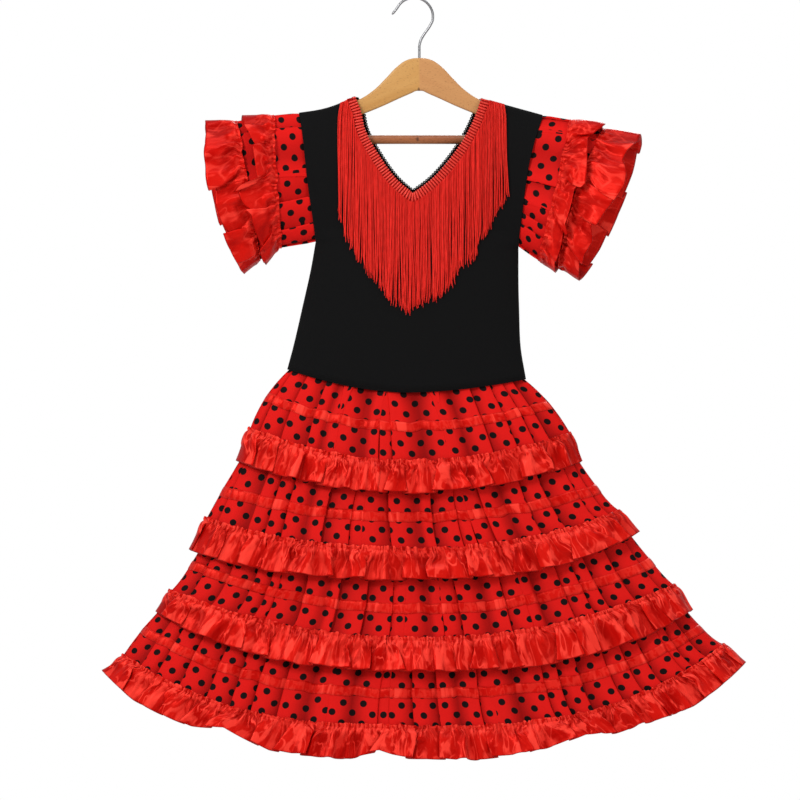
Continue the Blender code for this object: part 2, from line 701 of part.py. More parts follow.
def make_hanger(collection, cutters):
    """The flat wooden body, symmetric about its centre line."""
    mirrored = [(-x, z) for x, z in reversed(HANGER_OUTLINE) if x > 0]
    outline = list(HANGER_OUTLINE) + mirrored
    curve = bpy.data.curves.new("hanger_wood", "CURVE")
    curve.dimensions = "2D"
    curve.fill_mode = "BOTH"
    curve.resolution_u = 2
    curve.extrude = (HANGER_THICK / 2 - HANGER_EDGE) * MM
    curve.bevel_depth = HANGER_EDGE * MM
    curve.bevel_resolution = 0
    curve.offset = -HANGER_EDGE * MM
    spline = curve.splines.new("BEZIER")
    spline.use_cyclic_u = True
    spline.bezier_points.add(len(outline) - 1)
    for knot, (x, z) in zip(spline.bezier_points, outline):
        knot.co = Vector((x, z, 0)) * MM
        knot.handle_left_type = knot.handle_right_type = "AUTO"
    made = add_object("hanger_wood", curve, "light_wood", collection)
    made.location = Vector((HANGER_X, 0, 0)) * MM
    made.rotation_euler = (math.pi / 2, 0, 0)
    wood = made_mesh(made)
    upright, lying = (0, 0, 0), (0, math.pi / 2, 0)
    stem_at = (HANGER_X, 0, STEM_Z + STEM_SOCKET / 2 - SOCKET_SUNK)
    stem = cylinder("stem_socket", WIRE + SOCKET_GAP, STEM_SOCKET, stem_at, upright, SOCKET_SIDES, cutters)
    cut(wood, stem)
    bar_at = (HANGER_X, 0, BAR_Z)
    socket_length = 2 * (BAR_HALF + SOCKET_GAP)
    ends = cylinder("bar_sockets", BAR_RADIUS + SOCKET_GAP, socket_length, bar_at, lying, BAR_SIDES, cutters)
    cut(wood, ends)
    bar = cylinder("hanger_bar", BAR_RADIUS, 2 * BAR_HALF, bar_at, lying, BAR_SIDES, collection)
    bar.data.materials.append(bpy.data.materials["dark_wood"])
    bar.data.shade_smooth()
    bar.data.set_sharp_from_angle(angle=CREASE)


def hook_path():
    """Up the stem, through the bend, over the top and down to the open tip."""
    centre = Vector((0, WIRE - HOOK_RADIUS))
    points = [Vector((HANGER_X, STEM_Z)), Vector((HANGER_X, STEM_TOP))]
    points += [Vector(p) for p in HOOK_BEND]
    for turn in np.radians(np.linspace(*HOOK_ARC, HOOK_STEPS)):
        points.append(centre + HOOK_RADIUS * Vector((math.cos(turn), math.sin(turn))))
    return points + [Vector(HOOK_TIP)]


def make_hook(collection):
    curve = bpy.data.curves.new("hanger_hook", "CURVE")
    curve.dimensions = "3D"
    curve.bevel_depth = WIRE * MM
    curve.bevel_resolution = 2
    curve.use_fill_caps = True
    path = hook_path()
    spline = curve.splines.new("POLY")
    spline.points.add(len(path) - 1)
    for knot, spot in zip(spline.points, path):
        knot.co = (spot.x * MM, 0, spot.y * MM, 1)
    add_object("hanger_hook", curve, "steel_wire", collection)


def main():
    clear_scene()
    make_materials()
    dress = new_collection(COLLECTION)
    cutters = new_collection("cutters")
    make_skirt(dress)
    front, left, right = bodice_panel("bodice_front", -1, dress)
    _, back_left, back_right = bodice_panel("bodice_back", 1, dress)
    make_neck_edging(back_left, back_right, dress)
    make_sleeve("left", SLEEVES["left"], LEFT_HALF, left, back_left, dress)
    make_sleeve("right", SLEEVES["right"], RIGHT_HALF, right, back_right, dress)
    make_fringe(front, left, right, dress, cutters)
    make_hanger(dress, cutters)
    make_hook(dress)


main()
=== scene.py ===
# %% [markdown]
# A child's flamenco dress on a wooden hanger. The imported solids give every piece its
# place and its size. This script dresses them: each cloth piece is made again as a thin
# shell that is folded as cloth folds, and each surface gets a finish made of nodes.

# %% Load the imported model
import json
import math
from collections import namedtuple

import bpy
import numpy as np
from mathutils import Matrix, Vector
from mathutils.bvhtree import BVHTree

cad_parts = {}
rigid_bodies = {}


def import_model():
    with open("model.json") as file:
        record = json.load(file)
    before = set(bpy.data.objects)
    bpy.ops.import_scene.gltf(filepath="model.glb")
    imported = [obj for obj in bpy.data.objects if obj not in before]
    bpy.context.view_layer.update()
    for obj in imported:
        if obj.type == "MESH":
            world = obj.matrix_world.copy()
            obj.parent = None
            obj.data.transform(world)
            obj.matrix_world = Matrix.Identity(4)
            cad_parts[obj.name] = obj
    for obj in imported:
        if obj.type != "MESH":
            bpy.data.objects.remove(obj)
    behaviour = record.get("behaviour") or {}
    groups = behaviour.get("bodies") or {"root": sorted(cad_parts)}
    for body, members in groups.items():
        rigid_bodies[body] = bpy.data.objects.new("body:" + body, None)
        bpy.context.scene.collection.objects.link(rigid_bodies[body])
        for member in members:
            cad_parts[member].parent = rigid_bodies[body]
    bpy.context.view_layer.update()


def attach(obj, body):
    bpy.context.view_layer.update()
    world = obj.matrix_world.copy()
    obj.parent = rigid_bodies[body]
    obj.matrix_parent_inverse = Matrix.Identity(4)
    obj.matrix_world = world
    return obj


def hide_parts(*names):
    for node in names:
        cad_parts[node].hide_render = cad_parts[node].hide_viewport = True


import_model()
MM = 0.001


def linked(name, data):
    """A new object in the scene that holds the data."""
    made = bpy.data.objects.new(name, data)
    bpy.context.scene.collection.objects.link(made)
    return made


# %% [markdown]
# The camera looks straight at the front. A very long lens from far away keeps the sizes
# of near and far folds almost the same.

# %% Camera
VIEW_CENTRE = (-0.0185, -0.5293)
VIEW_WIDTH = 1.056
VIEW_DISTANCE = 12.0
SENSOR = 36.0

camera = linked("camera", bpy.data.cameras.new("camera"))
camera.data.sensor_width = SENSOR
camera.data.lens = SENSOR * VIEW_DISTANCE / VIEW_WIDTH
camera.data.clip_end = 100
camera.location = (VIEW_CENTRE[0], -VIEW_DISTANCE, VIEW_CENTRE[1])
camera.rotation_euler = (math.pi / 2, 0, 0)
bpy.context.scene.camera = camera
bpy.context.scene.view_settings.view_transform = "Standard"
print("lens, mm:", round(camera.data.lens))

# %% [markdown]
# Satin shows its folds only if something bright is beside something dim. So one large
# lamp stands high on the left, a weaker one on the right, and the white room fills the
# rest. The room is brighter to the camera than it is to the cloth, which keeps the
# backdrop white and the folds dark enough.

# %% Room, floor and lamps
FLOOR_Z = -1.28
FLOOR_RADIUS = 4.0


def node_material(name):
    """A new material, with the nodes and the links of its tree."""
    made = bpy.data.materials.new(name)
    made.use_nodes = True
    return made, made.node_tree.nodes, made.node_tree.links


def white_room(seen, felt):
    world = bpy.data.worlds.new("room")
    world.use_nodes = True
    bpy.context.scene.world = world
    nodes, links = world.node_tree.nodes, world.node_tree.links
    nodes.clear()
    out = nodes.new("ShaderNodeOutputWorld")
    mix = nodes.new("ShaderNodeMixShader")
    ray = nodes.new("ShaderNodeLightPath")
    for socket, strength in ((1, felt), (2, seen)):
        light = nodes.new("ShaderNodeBackground")
        light.inputs["Color"].default_value = (1, 1, 1, 1)
        light.inputs["Strength"].default_value = strength
        links.new(light.outputs[0], mix.inputs[socket])
    links.new(ray.outputs["Is Camera Ray"], mix.inputs[0])
    links.new(mix.outputs[0], out.inputs[0])


def pale_floor():
    bpy.ops.mesh.primitive_circle_add(vertices=96, radius=FLOOR_RADIUS, fill_type="NGON")
    floor = bpy.context.object
    floor.name = "floor"
    floor.location.z = FLOOR_Z
    made, nodes, links = node_material("floor")
    shader = nodes["Principled BSDF"]
    shader.inputs["Base Color"].default_value = (0.86, 0.86, 0.86, 1)
    shader.inputs["Roughness"].default_value = 0.7
    place = nodes.new("ShaderNodeTexCoord")
    far = nodes.new("ShaderNodeVectorMath")
    far.operation = "LENGTH"
    fade = nodes.new("ShaderNodeMapRange")
    fade.inputs["From Min"].default_value = FLOOR_RADIUS * 0.35
    fade.inputs["From Max"].default_value = FLOOR_RADIUS * 0.95
    clear = nodes.new("ShaderNodeBsdfTransparent")
    mix = nodes.new("ShaderNodeMixShader")
    links.new(place.outputs["Object"], far.inputs[0])
    links.new(far.outputs["Value"], fade.inputs["Value"])
    links.new(fade.outputs[0], mix.inputs[0])
    links.new(shader.outputs[0], mix.inputs[1])
    links.new(clear.outputs[0], mix.inputs[2])
    links.new(mix.outputs[0], nodes["Material Output"].inputs[0])
    floor.data.materials.append(made)


def lamp(name, place, power, size, height=None):
    light = bpy.data.lights.new(name, "AREA")
    light.energy = power
    light.shape = "RECTANGLE"
    light.size = size
    light.size_y = height or size
    made = linked(name, light)
    made.location = place
    aim = Vector((VIEW_CENTRE[0], 0, VIEW_CENTRE[1])) - Vector(place)
    made.rotation_euler = aim.to_track_quat("-Z", "Y").to_euler()


white_room(seen=1.0, felt=0.40)
pale_floor()
lamp("key_lamp", (-1.5, -2.1, 0.9), 46, 0.7, 1.0)
lamp("fill_lamp", (1.9, -2.0, -0.2), 13, 1.0, 1.4)
lamp("top_lamp", (0.2, -0.7, 1.6), 12, 1.2, 0.8)
lamp("back_lamp", (0.6, 2.4, 0.9), 26, 1.4, 1.4)

# %% [markdown]
# The tables below repeat the named measures of the solids, in millimetres. A line runs
# round the skirt: the ends of its side seams, its lowest point in the middle, its half
# depth, and the power of its curve.

# %% Measures of the skirt
Line = namedtuple("Line", "left_x left_z mid_z right_x right_z depth power")
Tier = namedtuple("Tier", "ribbon seam hem")
WAIST = Line(-167, -489, -519.5, 147.5, -502, 27, 1.8)
TIERS = (
    Tier(
        ribbon=Line(-195, -526, -564, 179, -536, 34, 1.9),
        seam=Line(-217, -569, -612.5, 207, -575, 41, 2.0),
        hem=Line(-235, -609, -650, 222, -609, 54, 2.0),
    ),
    Tier(
        ribbon=Line(-252, -648, -682, 242, -646, 47, 2.1),
        seam=Line(-275, -688, -727, 273, -676, 53, 2.3),
        hem=Line(-297, -726, -763.5, 298, -702, 67, 2.8),
    ),
    Tier(
        ribbon=Line(-294, -746, -802, 313, -743, 59, 2.1),
        seam=Line(-323, -783, -845, 345, -775, 65, 2.1),
        hem=Line(-341, -808, -884, 367, -807, 79, 2.7),
    ),
    Tier(
        ribbon=Line(-357, -832, -913, 379, -830, 71, 2.6),
        seam=Line(-384, -867, -960, 410, -852, 77, 2.9),
        hem=Line(-411, -887, -1000, 438, -875, 90, 3.1),
    ),
)
Rise = namedtuple("Rise", "u up")
LOWEST_EDGE = (
    Rise(-1.0, 0), Rise(-0.9, -5), Rise(-0.72, 2), Rise(-0.62, 16), Rise(-0.48, 1),
    Rise(-0.24, 1), Rise(-0.14, 11), Rise(-0.05, 2), Rise(0.16, 0), Rise(0.33, 6),
    Rise(0.5, 19), Rise(0.59, 10), Rise(0.68, 10), Rise(0.82, -2), Rise(1.0, 0),
)
RIBBON_WIDTH = 12.5
CLOTH = 0.5  # thickness of the printed cloth
SATIN = 0.4
KNIT = 0.9

# %% [markdown]
# Cloth keeps its length when it folds, so every piece here is made from two things: a
# smooth curve that says where the piece runs, and a profile that says how the cloth
# folds as it goes along. These helpers measure a curve and put a profile on it.

# %% Helpers: curves, profiles and shells


def between(one, other, share):
    """A line part of the way from one line to another."""
    return Line(*(a + (b - a) * share for a, b in zip(one, other)))


def raised(line, up, inset=0.0):
    return line._replace(
        left_z=line.left_z + up, mid_z=line.mid_z + up, right_z=line.right_z + up,
        left_x=line.left_x + inset, right_x=line.right_x - inset,
    )


def side_of(line, face, count=241):
    """Points and outward normals of a line's front (-1) or back (1), left to right."""
    turn = np.linspace(0, math.pi, count)
    u = -np.cos(turn)
    half = (line.right_x - line.left_x) / 2
    end = np.where(u < 0, line.left_z, line.right_z)
    x = (line.left_x + line.right_x) / 2 + half * u
    y = face * (0.3 + line.depth * np.sin(turn))
    z = line.mid_z + (end - line.mid_z) * np.abs(u) ** line.power
    normal = np.stack([u / half, face * np.sin(turn) / line.depth, 0 * u], axis=1)
    normal /= np.linalg.norm(normal, axis=1)[:, None]
    return np.stack([x, y, z], axis=1), normal


def length_along(points):
    steps = np.linalg.norm(np.diff(points, axis=0), axis=1)
    return np.concatenate([[0.0], np.cumsum(steps)])


def on_curve(points, normals, along, out):
    """Where a profile's points lie: along the curve, and out from it."""
    table = length_along(points)
    spot = [np.interp(along, table, points[:, k]) for k in range(3)]
    lean = [np.interp(along, table, normals[:, k]) for k in range(3)]
    return np.stack(spot, axis=-1) + np.stack(lean, axis=-1) * np.asarray(out)[..., None]


def grid_normals(grid, closed=False):
    """Normals of a grid of points, (rows, columns, 3)."""
    down = np.gradient(grid, axis=0)
    if closed:
        across = (np.roll(grid, -1, axis=1) - np.roll(grid, 1, axis=1)) / 2
    else:
        across = np.gradient(grid, axis=1)
    normal = np.cross(down, across)
    return normal / np.maximum(1e-9, np.linalg.norm(normal, axis=2))[..., None]


def walled(made, thick):
    """Gives a sheet its thickness in mm, half of it to each side."""
    wall = made.modifiers.new("wall", "SOLIDIFY")
    wall.thickness = thick * MM
    wall.offset = 0.0


def shell(name, grid, uv, material, thick, closed=False, deep=None):
    """A grid of points in mm as a cloth shell. uv is in metres of flat cloth; a closed
    grid has one more uv column than it has columns of points. deep says from 0 to 1 how
    far down in a fold each point lies; the finishes paint shade from it."""
    rows, columns = grid.shape[:2]
    r, c = np.meshgrid(np.arange(rows - 1), np.arange(columns if closed else columns - 1), indexing="ij")
    after = (c + 1) % columns
    corners = [(r, c), (r + 1, c), (r + 1, after), (r, after)]
    faces = np.stack([a * columns + b for a, b in corners], axis=-1).reshape(-1, 4)
    mesh = bpy.data.meshes.new(name)
    mesh.from_pydata((grid.reshape(-1, 3) * MM).tolist(), [], faces.tolist())
    spots = [(r, c), (r + 1, c), (r + 1, c + 1), (r, c + 1)]
    flat = np.stack([uv[a, b] for a, b in spots], axis=-2).reshape(-1, 2)
    mesh.uv_layers.new(name="UVMap").data.foreach_set("uv", flat.ravel().astype(np.float32))
    if deep is not None:
        held = mesh.attributes.new("deep", "FLOAT", "POINT")
        held.data.foreach_set("value", np.clip(deep, 0, 1).ravel().astype(np.float32))
    mesh.shade_smooth()
    mesh.materials.append(material)
    made = linked(name, mesh)
    walled(made, thick)
    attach(made, "root")
    return made


def wander(count, step, rng, low=-1.0, high=1.0):
    """A smooth random curve over count points, with a new value every step points."""
    knots = rng.uniform(low, high, max(4, int(count / step) + 3))
    spots = np.linspace(1, len(knots) - 2.001, count)
    k = spots.astype(int)
    f = spots - k
    f = f * f * (3 - 2 * f)
    return knots[k] * (1 - f) + knots[k + 1] * f


# %% [markdown]
# Finishes. The printed cloth has round black dots in staggered rows. Its pattern reads
# the flat cloth's own metres, so the dots are cut by the pleats as print is. Satin is
# smooth, bends light along its threads and tints what it reflects. Down in the folds
# both are darker, a painted shade, and the satin's colour also holds painted shade and
# painted highlights.

# %% Finishes of the cloth


def socket_values(shader, **values):
    for name, value in values.items():
        shader.inputs[name.replace("_", " ")].default_value = value


def maths(nodes, links, operation, a, b=None, c=None):
    made = nodes.new("ShaderNodeMath")
    made.operation = operation
    for socket, value in zip(made.inputs, (a, b, c)):
        if value is None:
            continue
        if isinstance(value, (int, float)):
            socket.default_value = value
        else:
            links.new(value, socket)
    return made.outputs[0]


def noise(nodes, links, where, scale, detail=2.0, rough=0.5, kind="FBM", bent=0.0):
    made = nodes.new("ShaderNodeTexNoise")
    made.noise_type = kind
    made.inputs["Distortion"].default_value = bent
    links.new(where, made.inputs["Vector"])
    made.inputs["Scale"].default_value = scale
    made.inputs["Detail"].default_value = detail
    made.inputs["Roughness"].default_value = rough
    return made.outputs["Fac"]


def vector_maths(nodes, links, operation, a, b=None):
    made = nodes.new("ShaderNodeVectorMath")
    made.operation = operation
    links.new(a, made.inputs[0])
    if b is not None:
        made.inputs[1].default_value = b
    return made.outputs["Value" if operation == "LENGTH" else "Vector"]


def mapped(nodes, links, where, scale=(1, 1, 1), turn=(0, 0, 0)):
    made = nodes.new("ShaderNodeMapping")
    links.new(where, made.inputs["Vector"])
    made.inputs["Scale"].default_value = scale
    made.inputs["Rotation"].default_value = turn
    return made.outputs[0]


def mixed(nodes, links, share, one, other):
    made = nodes.new("ShaderNodeMix")
    made.data_type = "RGBA"
    links.new(share, made.inputs["Factor"])
    for socket, value in zip((made.inputs[6], made.inputs[7]), (one, other)):
        if isinstance(value, tuple):
            socket.default_value = (*value, 1)
        else:
            links.new(value, socket)
    return made.outputs[2]


def ranged(nodes, links, value, low, high, to_low=0.0, to_high=1.0):
    """Maps low to high on to_low to to_high, and holds the ends."""
    made = nodes.new("ShaderNodeMapRange")
    for name, limit in zip(("From Min", "From Max", "To Min", "To Max"), (low, high, to_low, to_high)):
        made.inputs[name].default_value = limit
    links.new(value, made.inputs["Value"])
    return made.outputs[0]


def bump(nodes, links, height, distance, strength=1.0, under=None):
    made = nodes.new("ShaderNodeBump")
    made.inputs["Distance"].default_value = distance
    made.inputs["Strength"].default_value = strength
    links.new(height, made.inputs["Height"])
    if under is not None:
        links.new(under, made.inputs["Normal"])
    return made.outputs[0]


def parts_of(nodes, links, where):
    """The x, y and z of a vector."""
    made = nodes.new("ShaderNodeSeparateXYZ")
    links.new(where, made.inputs[0])
    return made.outputs


def flat_cloth(nodes):
    made = nodes.new("ShaderNodeUVMap")
    made.uv_map = "UVMap"
    return made.outputs[0]


def in_folds(nodes, links, tone, darkest):
    """The tone of cloth, darker down in the folds, where little light gets in."""
    depth = nodes.new("ShaderNodeAttribute")
    depth.attribute_name = "deep"
    dark = nodes.new("ShaderNodeMix")
    dark.data_type = "RGBA"
    dark.blend_type = "MULTIPLY"
    links.new(depth.outputs["Fac"], dark.inputs["Factor"])
    links.new(tone, dark.inputs[6])
    dark.inputs[7].default_value = (*darkest, 1)
    return dark.outputs[2]


def threads(nodes, links, where, per_metre):
    """Height of a plain weave: two sets of threads, one over the other."""
    place = parts_of(nodes, links, where)
    turns = per_metre * 2 * math.pi
    across = maths(nodes, links, "SINE", maths(nodes, links, "MULTIPLY", place[0], turns))
    down = maths(nodes, links, "SINE", maths(nodes, links, "MULTIPLY", place[1], turns))
    return maths(nodes, links, "MULTIPLY", across, down)


DOT_ROW = 0.0188  # metres between neighbouring dots, along the slanting rows
DOT_RADIUS = 0.0045
PRINT_RED = (0.69, 0.0074, 0.0056)
PRINT_BLACK = (0.0070, 0.0030, 0.0032)
SATIN_RED = (0.64, 0.0075, 0.0042)
# Painted shade: the satin's darker red, where it is drawn as turned from the light.
SATIN_SHADED = (0.45, 0.0016, 0.0010)
BAND_RED = (0.66, 0.0085, 0.0055)
# Painted shade of the band's satin, made the same way.
BAND_SHADED = (0.54, 0.0036, 0.0024)
# Painted highlight: the colour of satin drawn as turned towards the light.
SATIN_LIGHT = (1.0, 0.058, 0.038)  # where crumpled satin turns towards the light
# Between these v, painted highlights of small loops lie at the gathered seam.
LOOP_HIGHLIGHT_FROM, LOOP_HIGHLIGHT_TO = 0.029, 0.037  # v of the small loops at the gathered seam
# Between these v the bumps are deeper and the painted highlight lines show all round.
CRUMPLED_FROM, CRUMPLED_TO = 0.018, 0.036  # v where the gathers crumple the satin
# v width of the painted shadow line along the satin's hem.
HEM_SHADOW_WIDTH = 0.0014
# How many painted shade areas, painted highlight patches and painted highlight lines along bends fit in a
# metre of satin.
TURNED_SCALE, PATCH_SCALE, BEND_SCALE = 44, 62, 68  # areas, patches and bends in a metre of satin
RIB_PITCH_KNIT, LOOP_PITCH_KNIT = 0.0011, 0.0008


def make_dotted_cloth():
    made, nodes, links = node_material("dotted_cloth")
    shader = nodes["Principled BSDF"]
    where = flat_cloth(nodes)
    step = 1 / DOT_ROW
    slanted = mapped(nodes, links, where, (step, step, 1), (0, 0, math.pi / 4))
    cell = vector_maths(nodes, links, "FRACTION", slanted)
    centred = vector_maths(nodes, links, "SUBTRACT", cell, (0.5, 0.5, 0))
    flat = vector_maths(nodes, links, "MULTIPLY", centred, (1, 1, 0))
    reach = vector_maths(nodes, links, "LENGTH", flat)
    ragged = maths(nodes, links, "MULTIPLY", noise(nodes, links, where, 900, 2), 0.012)
    rim = maths(nodes, links, "ADD", reach, ragged)
    dotted = ranged(nodes, links, rim, DOT_RADIUS * step + 0.014, DOT_RADIUS * step - 0.004)
    cloudy = noise(nodes, links, where, 22, 3)
    red = mixed(nodes, links, cloudy, tuple(c * 0.90 for c in PRINT_RED), tuple(c * 1.08 for c in PRINT_RED))
    printed = mixed(nodes, links, dotted, red, PRINT_BLACK)
    links.new(in_folds(nodes, links, printed, (0.42, 0.16, 0.16)), shader.inputs["Base Color"])
    weave = threads(nodes, links, where, 1900)
    creased = noise(nodes, links, where, 140, 4, 0.6)
    height = bump(nodes, links, weave, 0.00005, 0.5)
    links.new(bump(nodes, links, creased, 0.0006, 0.35, height), shader.inputs["Normal"])
    matt = maths(nodes, links, "MULTIPLY_ADD", cloudy, 0.12, 0.60)
    links.new(matt, shader.inputs["Roughness"])
    socket_values(shader, Specular_IOR_Level=0.08)
    return made


def make_satin(name, dark, plain, run=0.36, wide=1.0, crumpled=1.0, lit=0.53):
    """Satin, with painted shade and painted highlights in its colour. v is 0 at the free
    hem of a strip and rises towards its gathered seam. dark is the painted shade's colour
    and plain the satin's own. run is how far the painted shade and highlights run across
    the strip: the smaller, the further. wide is their size, and crumpled how deep the bumps
    near the gathers are and how strong the painted highlight lines and loops. The higher
    lit is, the fewer painted highlight patches."""
    made, nodes, links = node_material(name)
    shader = nodes["Principled BSDF"]
    where = flat_cloth(nodes)
    split = parts_of(nodes, links, where)
    crumple = ranged(nodes, links, split[1], CRUMPLED_FROM, CRUMPLED_TO)
    # Painted shade: plain areas, some drawn darker as if turned from the light.
    stretched = mapped(nodes, links, where, (1, run, 1))
    turned = noise(nodes, links, stretched, TURNED_SCALE / wide, 3, 0.5, bent=0.6)
    tone = mixed(nodes, links, ranged(nodes, links, turned, 0.42, 0.56), dark, plain)
    # Painted highlights: areas and narrow edges drawn lighter as if they faced the light.
    patches = noise(nodes, links, stretched, PATCH_SCALE / wide, 3, 0.5, bent=0.7)
    highlight_patches = ranged(nodes, links, patches, lit, lit + 0.07, 0.0, 0.85)
    slanting = mapped(nodes, links, where, (1, run, 1), (0, 0, 0.1))
    bends = noise(nodes, links, slanting, BEND_SCALE / wide, 1, 0.5, bent=0.5)
    highlight_lines = maths(nodes, links, "ABSOLUTE", maths(nodes, links, "SUBTRACT", bends, 0.5))
    highlight_lines = ranged(nodes, links, highlight_lines, 0.036, 0.010, 0.0, crumpled)
    highlight_line_spots = ranged(nodes, links, noise(nodes, links, where, 42, 1), 0.42, 0.56)
    highlight_lines = maths(nodes, links, "MULTIPLY", highlight_lines, maths(nodes, links, "MAXIMUM", highlight_line_spots, crumple))
    # Painted highlights of small loops, near the gathered seam.
    loops = noise(nodes, links, mapped(nodes, links, where, (1, 0.8, 1)), 150, 1, 0.5, bent=0.8)
    loop_highlight_band = ranged(nodes, links, split[1], LOOP_HIGHLIGHT_FROM, LOOP_HIGHLIGHT_TO, 0.0, 0.8 * crumpled)
    loop_highlights = maths(nodes, links, "MULTIPLY", ranged(nodes, links, loops, 0.49, 0.57), loop_highlight_band)
    light = maths(nodes, links, "MAXIMUM", highlight_patches, maths(nodes, links, "MAXIMUM", highlight_lines, loop_highlights))
    tone = mixed(nodes, links, light, tone, SATIN_LIGHT)
    # Painted shadow: a dark line along the hem, under its roll.
    hem = ranged(nodes, links, split[1], HEM_SHADOW_WIDTH, HEM_SHADOW_WIDTH * 0.4)
    hem_shadowed = mixed(nodes, links, hem, tone, tuple(c * 0.8 for c in dark))
    links.new(in_folds(nodes, links, hem_shadowed, (0.66, 0.34, 0.34)), shader.inputs["Base Color"])
    near = maths(nodes, links, "MULTIPLY_ADD", crumple, 0.75 * crumpled, 0.25 * crumpled)
    floats = noise(nodes, links, mapped(nodes, links, where, (2600, 220, 1)), 1.0, 1)
    height = bump(nodes, links, floats, 0.00004, 0.5)
    rolls = noise(nodes, links, mapped(nodes, links, where, (1, 0.4, 1)), 85, 2, 0.45)
    height = bump(nodes, links, rolls, 0.0042, 0.5, height)
    streaks = noise(nodes, links, mapped(nodes, links, where, (1, 0.24, 1)), 270, 2, 0.5)
    height = bump(nodes, links, maths(nodes, links, "MULTIPLY", streaks, near), 0.0016, 0.6, height)
    creases = noise(nodes, links, where, 130, 3, 0.5, "RIDGED_MULTIFRACTAL")
    height = bump(nodes, links, maths(nodes, links, "MULTIPLY", creases, near), 0.0007, 0.45, height)
    links.new(height, shader.inputs["Normal"])
    gloss = maths(nodes, links, "MULTIPLY_ADD", turned, 0.14, 0.26)
    links.new(gloss, shader.inputs["Roughness"])
    socket_values(shader, Anisotropic=0.35, Specular_IOR_Level=0.9, Specular_Tint=(1.0, 0.055, 0.035, 1))
    tangent = nodes.new("ShaderNodeTangent")
    tangent.direction_type = "UV_MAP"
    tangent.uv_map = "UVMap"
    links.new(tangent.outputs[0], shader.inputs["Tangent"])
    return made


def make_knit():
    made, nodes, links = node_material("black_knit")
    shader = nodes["Principled BSDF"]
    place = nodes.new("ShaderNodeTexCoord").outputs["Object"]
    split = parts_of(nodes, links, place)
    ribs, loops = (
        maths(nodes, links, "SINE", maths(nodes, links, "MULTIPLY", where, 2 * math.pi / pitch))
        for where, pitch in ((split[0], RIB_PITCH_KNIT), (split[2], LOOP_PITCH_KNIT))
    )
    fuzz = noise(nodes, links, place, 420, 3, 0.6)
    knitted = maths(nodes, links, "ADD", maths(nodes, links, "MULTIPLY", ribs, loops), ribs)
    height = bump(nodes, links, knitted, 0.00009, 0.6)
    links.new(bump(nodes, links, fuzz, 0.0003, 0.25, height), shader.inputs["Normal"])
    tone = mixed(nodes, links, fuzz, (0.0038, 0.0038, 0.0039), (0.0058, 0.0058, 0.0060))
    links.new(tone, shader.inputs["Base Color"])
    socket_values(shader, Roughness=0.9, Specular_IOR_Level=0.08, Sheen_Weight=0.015, Sheen_Roughness=0.5)
    return made


DOTTED = make_dotted_cloth()
SATIN_FINISH = make_satin("red_satin", SATIN_SHADED, SATIN_RED)
SLEEVE_FINISH = make_satin("sleeve_satin", SATIN_SHADED, SATIN_RED, 0.5, 1.35, 0.5, 0.60)
BAND_FINISH = make_satin("band_satin", BAND_SHADED, BAND_RED, 0.12, 1.0, 0.3, 0.57)
KNIT_FINISH = make_knit()
print("finishes:", [m.name for m in (DOTTED, SATIN_FINISH, SLEEVE_FINISH, BAND_FINISH, KNIT_FINISH)])

# %% [markdown]
# A flounce is a strip of printed cloth that is wider than the edge that it is sewn to.
# The spare width lies in knife pleats: the cloth runs flat, turns under in a tight bend,
# comes back a little way and turns again. Each pleat keeps its own width of cloth from
# top to bottom, so it closes at the narrow top and opens at the wide seam below.

# %% A knife pleat
BEND = 2.75  # how far the cloth turns in each bend of a pleat, in radians
BENDS = np.linspace(0.01, BEND, 60)  # from almost flat to a full bend
TAKEN = 1 - np.sin(BENDS) / BENDS  # share of a bend's cloth that it takes up
Profile = namedtuple("Profile", "cloth along out")


def knife_pleat(cloth, room, bend_length, facing, puff, flat_steps=6, bend_steps=4):
    """The profile of cloth folded into that room. Its crest is at 0, the rest below."""
    spare = max(0.0, cloth - room)
    turn, back = BEND, 0.0
    takes = 2 * bend_length * TAKEN[-1]
    if spare > takes:
        back = (spare - takes) / (1 - math.cos(BEND))
    else:
        turn = float(np.interp(spare / (2 * bend_length), TAKEN, BENDS))
    flat = cloth - 2 * bend_length - back
    steps = np.concatenate([
        np.full(flat_steps, flat / flat_steps),
        np.full(bend_steps, bend_length / bend_steps),
        [back],
        np.full(bend_steps, bend_length / bend_steps),
    ])
    swing = (np.arange(bend_steps) + 0.5) / bend_steps
    heading = -turn * np.concatenate([np.zeros(flat_steps), swing, [1.0], 1 - swing])
    cloth_at = np.concatenate([[0], np.cumsum(steps)])
    along = np.concatenate([[0], np.cumsum(steps * np.cos(heading))])
    out = np.concatenate([[0], np.cumsum(steps * np.sin(heading))])
    slack = room - along[-1]
    on_flat = np.minimum(cloth_at / flat, 1.0)
    along = along + slack * on_flat
    out = out - out[-1] * cloth_at / cloth
    out = out + puff * np.sin(math.pi * on_flat) * (cloth_at < flat)
    out -= out.max()
    if facing < 0:
        return Profile((cloth - cloth_at)[::-1], (room - along)[::-1], out[::-1])
    return Profile(cloth_at, along, out)


Pleated = namedtuple("Pleated", "grid uv flat deep")
PRESSED_BEND = 2.6  # cloth in a bend at the two sewn edges, in mm
LOOSE_BEND = 5.2  # the same half way down, where the pleats are free
PLEAT_SPREAD = (0.6, 1.4)  # narrowest and widest pleat, for a mean of 1
UNEVEN_OPENING = 0.055  # how much more or less than its share a pleat opens
WIDEST_OPEN = 0.985  # the most of its own cloth that a pleat shows
END_TAPER = 6  # mm at each end of a strip, over which the pleats flatten


